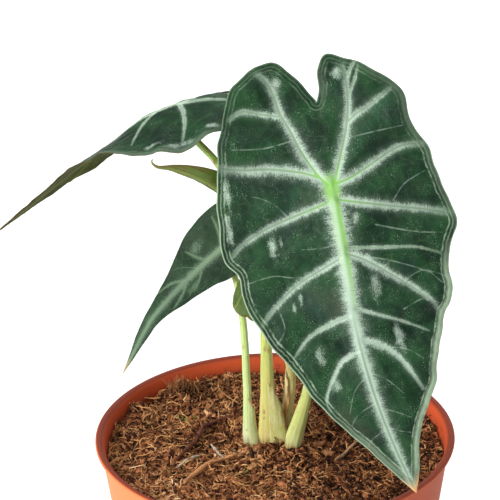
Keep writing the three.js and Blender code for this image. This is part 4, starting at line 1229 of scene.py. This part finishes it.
def scatterTree():
    tree = bpy.data.node_groups.new("scatterOnMix", "GeometryNodeTree")
    sockets = {"Geometry": "Geometry", "Pieces": "Collection", "Per Square Metre": "Float", "Smallest": "Float",
               "Largest": "Float", "Tilt": "Float", "Sink": "Float", "Seed": "Int", "Finish": "Material"}
    for name, kind in sockets.items():
        tree.interface.new_socket(name, in_out="INPUT", socket_type="NodeSocket" + kind)
    tree.interface.new_socket("Geometry", in_out="OUTPUT", socket_type="NodeSocketGeometry")
    given = add(tree, "NodeGroupInput").outputs
    upwards = part(add(tree, "GeometryNodeInputNormal").outputs[0], 2)
    spread = add(tree, "GeometryNodeDistributePointsOnFaces", {
        "Mesh": given["Geometry"], "Selection": maths("GREATER_THAN", upwards, 0.1),
        "Density": given["Per Square Metre"], "Seed": given["Seed"]})
    back = times(given["Tilt"], -1.0)
    lean = add(tree, "FunctionNodeRandomValue", {
        0: vector(tree, back, back, 0.0), 1: vector(tree, given["Tilt"], given["Tilt"], 2 * math.pi),
        "Seed": given["Seed"]}, data_type="FLOAT_VECTOR")
    turned = add(tree, "FunctionNodeEulerToRotation", {0: lean.outputs[0]}).outputs[0]
    facing = add(tree, "FunctionNodeRotateRotation", {0: spread.outputs["Rotation"], 1: turned},
                 rotation_space="LOCAL")
    luck = add(tree, "FunctionNodeRandomValue", {"Seed": plus(given["Seed"], 5.0)}, data_type="FLOAT")
    larger = times(minus(given["Largest"], given["Smallest"]), maths("POWER", luck.outputs[1], 1.8))
    size = plus(given["Smallest"], larger)
    chosen = add(tree, "GeometryNodeCollectionInfo", {"Collection": given["Pieces"], "Separate Children": True,
                                                      "Reset Children": True})
    placed = add(tree, "GeometryNodeInstanceOnPoints", {
        "Points": spread.outputs["Points"], "Instance": chosen.outputs[0], "Pick Instance": True,
        "Rotation": facing.outputs[0], "Scale": size})
    moved = add(tree, "GeometryNodeTranslateInstances", {
        "Instances": placed.outputs[0], "Translation": vector(tree, 0.0, 0.0, given["Sink"]), "Local Space": False})
    shade = add(tree, "FunctionNodeRandomValue", {"Seed": plus(given["Seed"], 11.0)}, data_type="FLOAT")
    marked = add(tree, "GeometryNodeStoreNamedAttribute", {
        "Geometry": moved.outputs[0], "Name": "tone", "Value": shade.outputs[1]},
        data_type="FLOAT", domain="INSTANCE")
    solid = add(tree, "GeometryNodeRealizeInstances", {0: marked.outputs[0]})
    coloured = add(tree, "GeometryNodeSetMaterial", {"Geometry": solid.outputs[0], "Material": given["Finish"]})
    add(tree, "NodeGroupOutput", {0: coloured.outputs[0]})
    return tree


def scatter(name, bed, tree, shapes, finish, values):
    holder = bpy.data.objects.new(name + "Bed", bed.data)
    bpy.context.scene.collection.objects.link(holder)
    group = shapeSet(name + "Shapes", shapes)
    modifier = holder.modifiers.new("scatter", "NODES")
    modifier.node_group = tree
    named = {item.name: item.identifier for item in tree.interface.items_tree if item.in_out == "INPUT"}
    for key, value in {**values, "Pieces": group, "Finish": finish}.items():
        modifier[named[key]] = value
    ready = bpy.context.evaluated_depsgraph_get()
    mesh = bpy.data.meshes.new_from_object(holder.evaluated_get(ready))
    places = np.empty(len(mesh.vertices) * 3, dtype=np.float32)
    mesh.vertices.foreach_get("co", places)
    places = places.reshape(-1, 3)
    radius = np.hypot(places[:, 0], places[:, 1])
    taper, gap = 0.14, 0.3 * mm                 # keeps clear of the pot's wall
    wall = lipInner - (potHeight - places[:, 2]) * taper - gap
    places[:, :2] *= np.minimum(1, wall / np.maximum(radius, 1e-6))[:, None]
    mesh.vertices.foreach_set("co", places.ravel())
    mesh.update()
    made = bpy.data.objects.new(name, mesh)
    bpy.context.scene.collection.objects.link(made)
    bpy.data.objects.remove(holder)
    for shape in list(group.objects):
        bpy.data.objects.remove(shape)
    bpy.data.collections.remove(group)
    finishPiece(made, "potting_mix", None, finish)


def makeMix():
    bed = makeBed()
    rng = random.Random(7)
    tree = scatterTree()
    earth = mixFinish("peatAndCoir", mix["peat"])
    straw = mixFinish("coirFibre", mix["coir"])
    crumbs = [crumbShape(rng, 0.34, rng.uniform(0.55, 0.9)) for _ in range(7)]
    flakes = [crumbShape(rng, 0.4, 0.2) for _ in range(6)]
    fibres = [fibreShape(rng, 0.6, 0.03) for _ in range(8)]
    chips = [fibreShape(rng, 0.35, 0.08, 3) for _ in range(6)]
    # what is spread: pieces for each square centimetre, smallest and largest in mm, tilt, sink in mm, seed,
    # and over how many objects it is shared
    spread = [("mixCrumbs", crumbs, earth, 260, 0.5, 1.8, 1.2, 0.1, 3, 3),
              ("mixFlakes", flakes, earth, 64, 0.9, 2.6, 0.9, 0.3, 14, 1),
              ("mixFibres", fibres, straw, 100, 1.5, 6.4, 0.7, 0.45, 25, 3),
              ("mixChips", chips, straw, 54, 1.2, 3.6, 0.8, 0.35, 36, 1)]
    squareCentimetres = 10000                   # in a square metre
    for name, shapes, finish, density, smallest, largest, tilt, sink, seed, parts in spread:
        for layer in range(parts):
            scatter(f"{name}{layer + 1}", bed, tree, shapes, finish, {
                "Per Square Metre": density * squareCentimetres / parts, "Smallest": smallest * mm,
                "Largest": largest * mm, "Tilt": tilt, "Sink": sink * mm, "Seed": seed + 100 * layer})
    finishPiece(bed, "potting_mix", "potting_mix", earth)

makeMix()
print("potting mix is spread")

# Loose pieces that lie on the mix

loose = [
    {"name": "barkTwig", "node": "bark_twig", "slot": "bark",
     "route": [(-25.6, -26.6), (-23.6, -20.6), (-20.4, -15), (-15.8, -9.8), (-11.2, -6.8)],
     "thick": [0.5, 0.7, 0.65, 0.6, 0.45], "dark": (136, 74, 40), "light": (232, 172, 116), "knots": 0.1,
     "above": 1.7},
    {"name": "rootStrand", "node": "root_strand", "slot": "bark",
     "route": [(-28.2, -8.9), (-25.5, -3.1), (-22.5, 5.1), (-20.7, 12.4), (-16.1, 16.1), (-10.7, 17.3)],
     "thick": [0.4, 0.65, 0.7, 0.6, 0.5, 0.35], "dark": (48, 24, 16), "light": (122, 68, 50), "knots": 0.2,
     "above": 1.2},
    {"name": "paleSplinterLong", "node": "pale_splinter_long", "slot": "pale_wood",
     "route": [(-28.2, -13), (-25.4, -9), (-21.8, -5.4)],
     "thick": [0.25, 0.55, 0.5, 0.25], "dark": (120, 100, 78), "light": (214, 202, 180), "knots": 0.35, "above": 0.8},
    {"name": "paleSplinterShort", "node": "pale_splinter_short", "slot": "pale_wood",
     "route": [(-18.8, 1.6), (-17.1, -2.2), (-14.9, -6.8)],
     "thick": [0.25, 0.45, 0.4, 0.25], "dark": (130, 108, 84), "light": (222, 210, 190), "knots": 0.35, "above": 0.8},
    {"name": "sideStick", "node": "side_stick", "slot": "bark", "route": [(17.4, -9.6), (20.6, -3.6), (24.6, 3)],
     "thick": [0.3, 0.5, 0.45, 0.3], "dark": (120, 84, 52), "light": (212, 176, 130), "knots": 0.2, "above": 0.9},
    {"name": "longFibre1", "node": None, "slot": "bark", "route": [(-16.8, 36.4), (-13.8, 31.6), (-10.6, 26.8)],
     "thick": [0.15, 0.25, 0.25, 0.15], "dark": (128, 82, 44), "light": (206, 152, 98), "knots": 0.2, "above": 1.1},
    {"name": "longFibre2", "node": None, "slot": "bark", "route": [(-20.2, 30), (-18.8, 25.5), (-21, 21.6)],
     "thick": [0.15, 0.25, 0.25, 0.15], "dark": (128, 82, 44), "light": (214, 160, 104), "knots": 0.2, "above": 1.3},
    {"name": "longFibre3", "node": None, "slot": "bark", "route": [(-42, 29.4), (-39, 30), (-34.6, 29.2)],
     "thick": [0.15, 0.3, 0.25, 0.15], "dark": (128, 82, 44), "light": (206, 152, 98), "knots": 0.2, "above": 1.6},
]

looseShape = {"flatness": 0.85, "rows": 90, "sides": 14, "wide": (0.31, 0.95, 0.05)}

def woodFinish(name, dark, light):
    material, tree = startMaterial(name, {"Specular IOR Level": 0.25, "Roughness": 0.8})
    around = vector(tree, reading(tree, "roundX"), reading(tree, "roundY"), times(reading(tree, "height"), 0.3))
    fibres = grain(around, 4.0, 4.0, 0.7)
    value = plus(times(fibres, 0.7), times(grain(objectPlace(tree), 1800.0, 3.0, 0.7), 0.3))
    return finishLook(material, blend(fade(value, 0.34, 0.64), dark, light), value, 0.0003, 0.9)


def makeLoose(piece, index):
    route = flatLine(piece["route"], 1.2)
    x, y = route[:, 0], route[:, 1]
    points = np.stack([x, y, highestNear(x, y, 1) + (max(piece["thick"]) + piece["above"])], axis=1)
    def knotted(turn, share, length):
        bumps = np.sin(length * 1.7 + index) * np.sin(length * 0.61 + 2 * index) + 0.4 * np.sin(turn * 3 + length)
        return 1 + piece["knots"] * bumps
    thin = [thick * looseShape["flatness"] for thick in piece["thick"]]
    made = makeBar(piece["name"], points, piece["thick"], thin, looseShape["rows"], looseShape["sides"], knotted,
                   wide=looseShape["wide"])
    wood = woodFinish(piece["name"] + "Wood", piece["dark"], piece["light"])
    finishPiece(made, piece["slot"], piece["node"], wood)


barkChips = [((12.8, 0.6), 20, (2.2, 1.3, 0.7)), ((15.6, -4), -35, (1.9, 1.2, 0.6)),
             ((-6.7, -12.4), 60, (1.8, 1.1, 0.6)), ((34, -6), 10, (2.1, 1.4, 0.7))]

def makeChip(index, place, turn, size, finish):
    rng = np.random.default_rng(40 + index)
    rows, columns = 13, 26
    u = np.linspace(0, math.pi, rows + 2)[1:-1, None]
    v = np.linspace(0, 2 * math.pi, columns, endpoint=False)[None, :]
    squared = lambda value, power: np.sign(value) * np.abs(value) ** power
    x = size[0] * np.sin(u) * squared(np.cos(v), 0.7)
    y = size[1] * np.sin(u) * squared(np.sin(v), 0.7)
    z = size[2] * squared(np.cos(u), 0.6) + 0 * v
    points = np.stack([x, y, z], axis=-1).reshape(-1, 3)
    points *= 1 + 0.12 * waves(points, 1.3, 50 + index)[:, None]
    points[:, 2] += 0.14 * np.sin(points[:, 0] * 1.7 + rng.uniform(0, 6)) + 0.08 * np.sin(points[:, 1] * 5)
    angle = math.radians(turn)
    spun = points[:, :2] @ np.array([[math.cos(angle), math.sin(angle)], [-math.sin(angle), math.cos(angle)]])
    points = np.column_stack([spun + place, points[:, 2] + highestNear(*place, 2) + size[2] + 0.3])
    ends = list(range(columns)), list(range((rows - 1) * columns, rows * columns))
    faces = [(a, d, c, b) for a, b, c, d in ringFaces(rows, columns)] + [ends[0], ends[1][::-1]]
    made = meshObject(f"barkChip{index + 1}", onMix(points), faces)
    addNumbers(made, "tone", np.full(len(points), 0.55 + 0.1 * index))
    finishPiece(made, "bark", f"bark_chip_{index + 1}", finish)


# Tufts of coir and moss sprouts are bunches of fine tapered hairs.
bunches = [
    {"name": "coirTuft", "slot": "bark", "node": "coir_tuft", "spots": [(-31, 31), (-28.4, 32.4), (-26.4, 33)],
     "hairs": 34, "length": 5.6, "thick": 0.13, "lean": 0.9, "finish": "tuft", "seed": 5},
    {"name": "fluffyCoir", "slot": "potting_mix", "node": None,
     "spots": [(-14, 40), (-22, 37), (-38, 17), (-35, 23), (-4, 34), (-33, -20), (38, 14)],
     "hairs": 22, "length": 3.4, "thick": 0.12, "lean": 1.3, "finish": "tuft", "seed": 9},
    {"name": "mossSprouts", "slot": "young_leaf", "node": None,
     "spots": [(-27.4, 20.4), (-26, 18.6), (-24.6, 20.8), (-8, -14)],
     "hairs": 6, "length": 1.7, "thick": 0.2, "lean": 0.9, "finish": "moss", "seed": 6},
]

def makeBunch(bunch, finish):
    rng = random.Random(bunch["seed"])
    rows, sides = 6, 4
    points, faces, tones = [], [], []
    for spotX, spotY in [spot for spot in bunch["spots"] for _ in range(bunch["hairs"])]:
        x, y = spotX + rng.gauss(0, 0.9), spotY + rng.gauss(0, 0.6)
        z = float(mixHeight(x, y)) + 0.2
        heading, tip = rng.uniform(0, 2 * math.pi), rng.uniform(0.5, 1) * bunch["length"]
        bend = rng.uniform(0.1, bunch["lean"])
        begin, tone = len(points), rng.random()
        for share in np.arange(rows) / (rows - 1):
            out = bend * tip * share ** 1.5
            centre = (x + out * math.cos(heading), y + out * math.sin(heading))
            radius = bunch["thick"] * (1 - 0.75 * share)
            for angle in np.arange(sides) * math.pi / 2:
                points.append((centre[0] + radius * math.cos(angle), centre[1] + radius * math.sin(angle),
                               z + tip * share * (1 - 0.4 * bend * share)))
                tones.append(tone)
        top = begin + (rows - 1) * sides
        faces += ringFaces(rows, sides, begin) + [range(begin + sides - 1, begin - 1, -1), range(top, top + sides)]
    made = meshObject(bunch["name"], onMix(points), faces)
    addNumbers(made, "tone", tones)
    finishPiece(made, bunch["slot"], bunch["node"], finish)


for index, piece in enumerate(loose):
    makeLoose(piece, index)
chipBark = mixFinish("chipBark", mix["chip"])
for index, (place, turn, size) in enumerate(barkChips):
    makeChip(index, place, turn, size, chipBark)
hairFinishes = {"tuft": mixFinish("tuftFibre", mix["tuft"]), "moss": mixFinish("mossSprout", mix["moss"])}
for bunch in bunches:
    makeBunch(bunch, hairFinishes[bunch["finish"]])
print("loose pieces lie on the mix")

# Rhizome, under the mix

rhizomeLook = {"dark": (74, 48, 30), "light": (142, 104, 70), "grime": (52, 32, 20)}

def rhizomeFinish():
    material, tree = startMaterial("rhizomeSkin", {"Specular IOR Level": 0.25, "Roughness": 0.85})
    place = objectPlace(tree)
    rings = grain(stretched(place, (0.2, 0.2, 4)), 260.0, 3.0, 0.6)
    fine = grain(place, 900.0, 3.0, 0.7)
    colour = blend(fade(rings, 0.35, 0.65), rhizomeLook["dark"], rhizomeLook["light"])
    colour = blend(times(fine, 0.4), colour, rhizomeLook["grime"])
    return finishLook(material, colour, plus(rings, fine), 0.0006, 0.9)

rhizome = frame["nodes"]["rhizome"]
rhizome.data.materials.clear()
rhizome.data.materials.append(rhizomeFinish())

print("everything is in place")
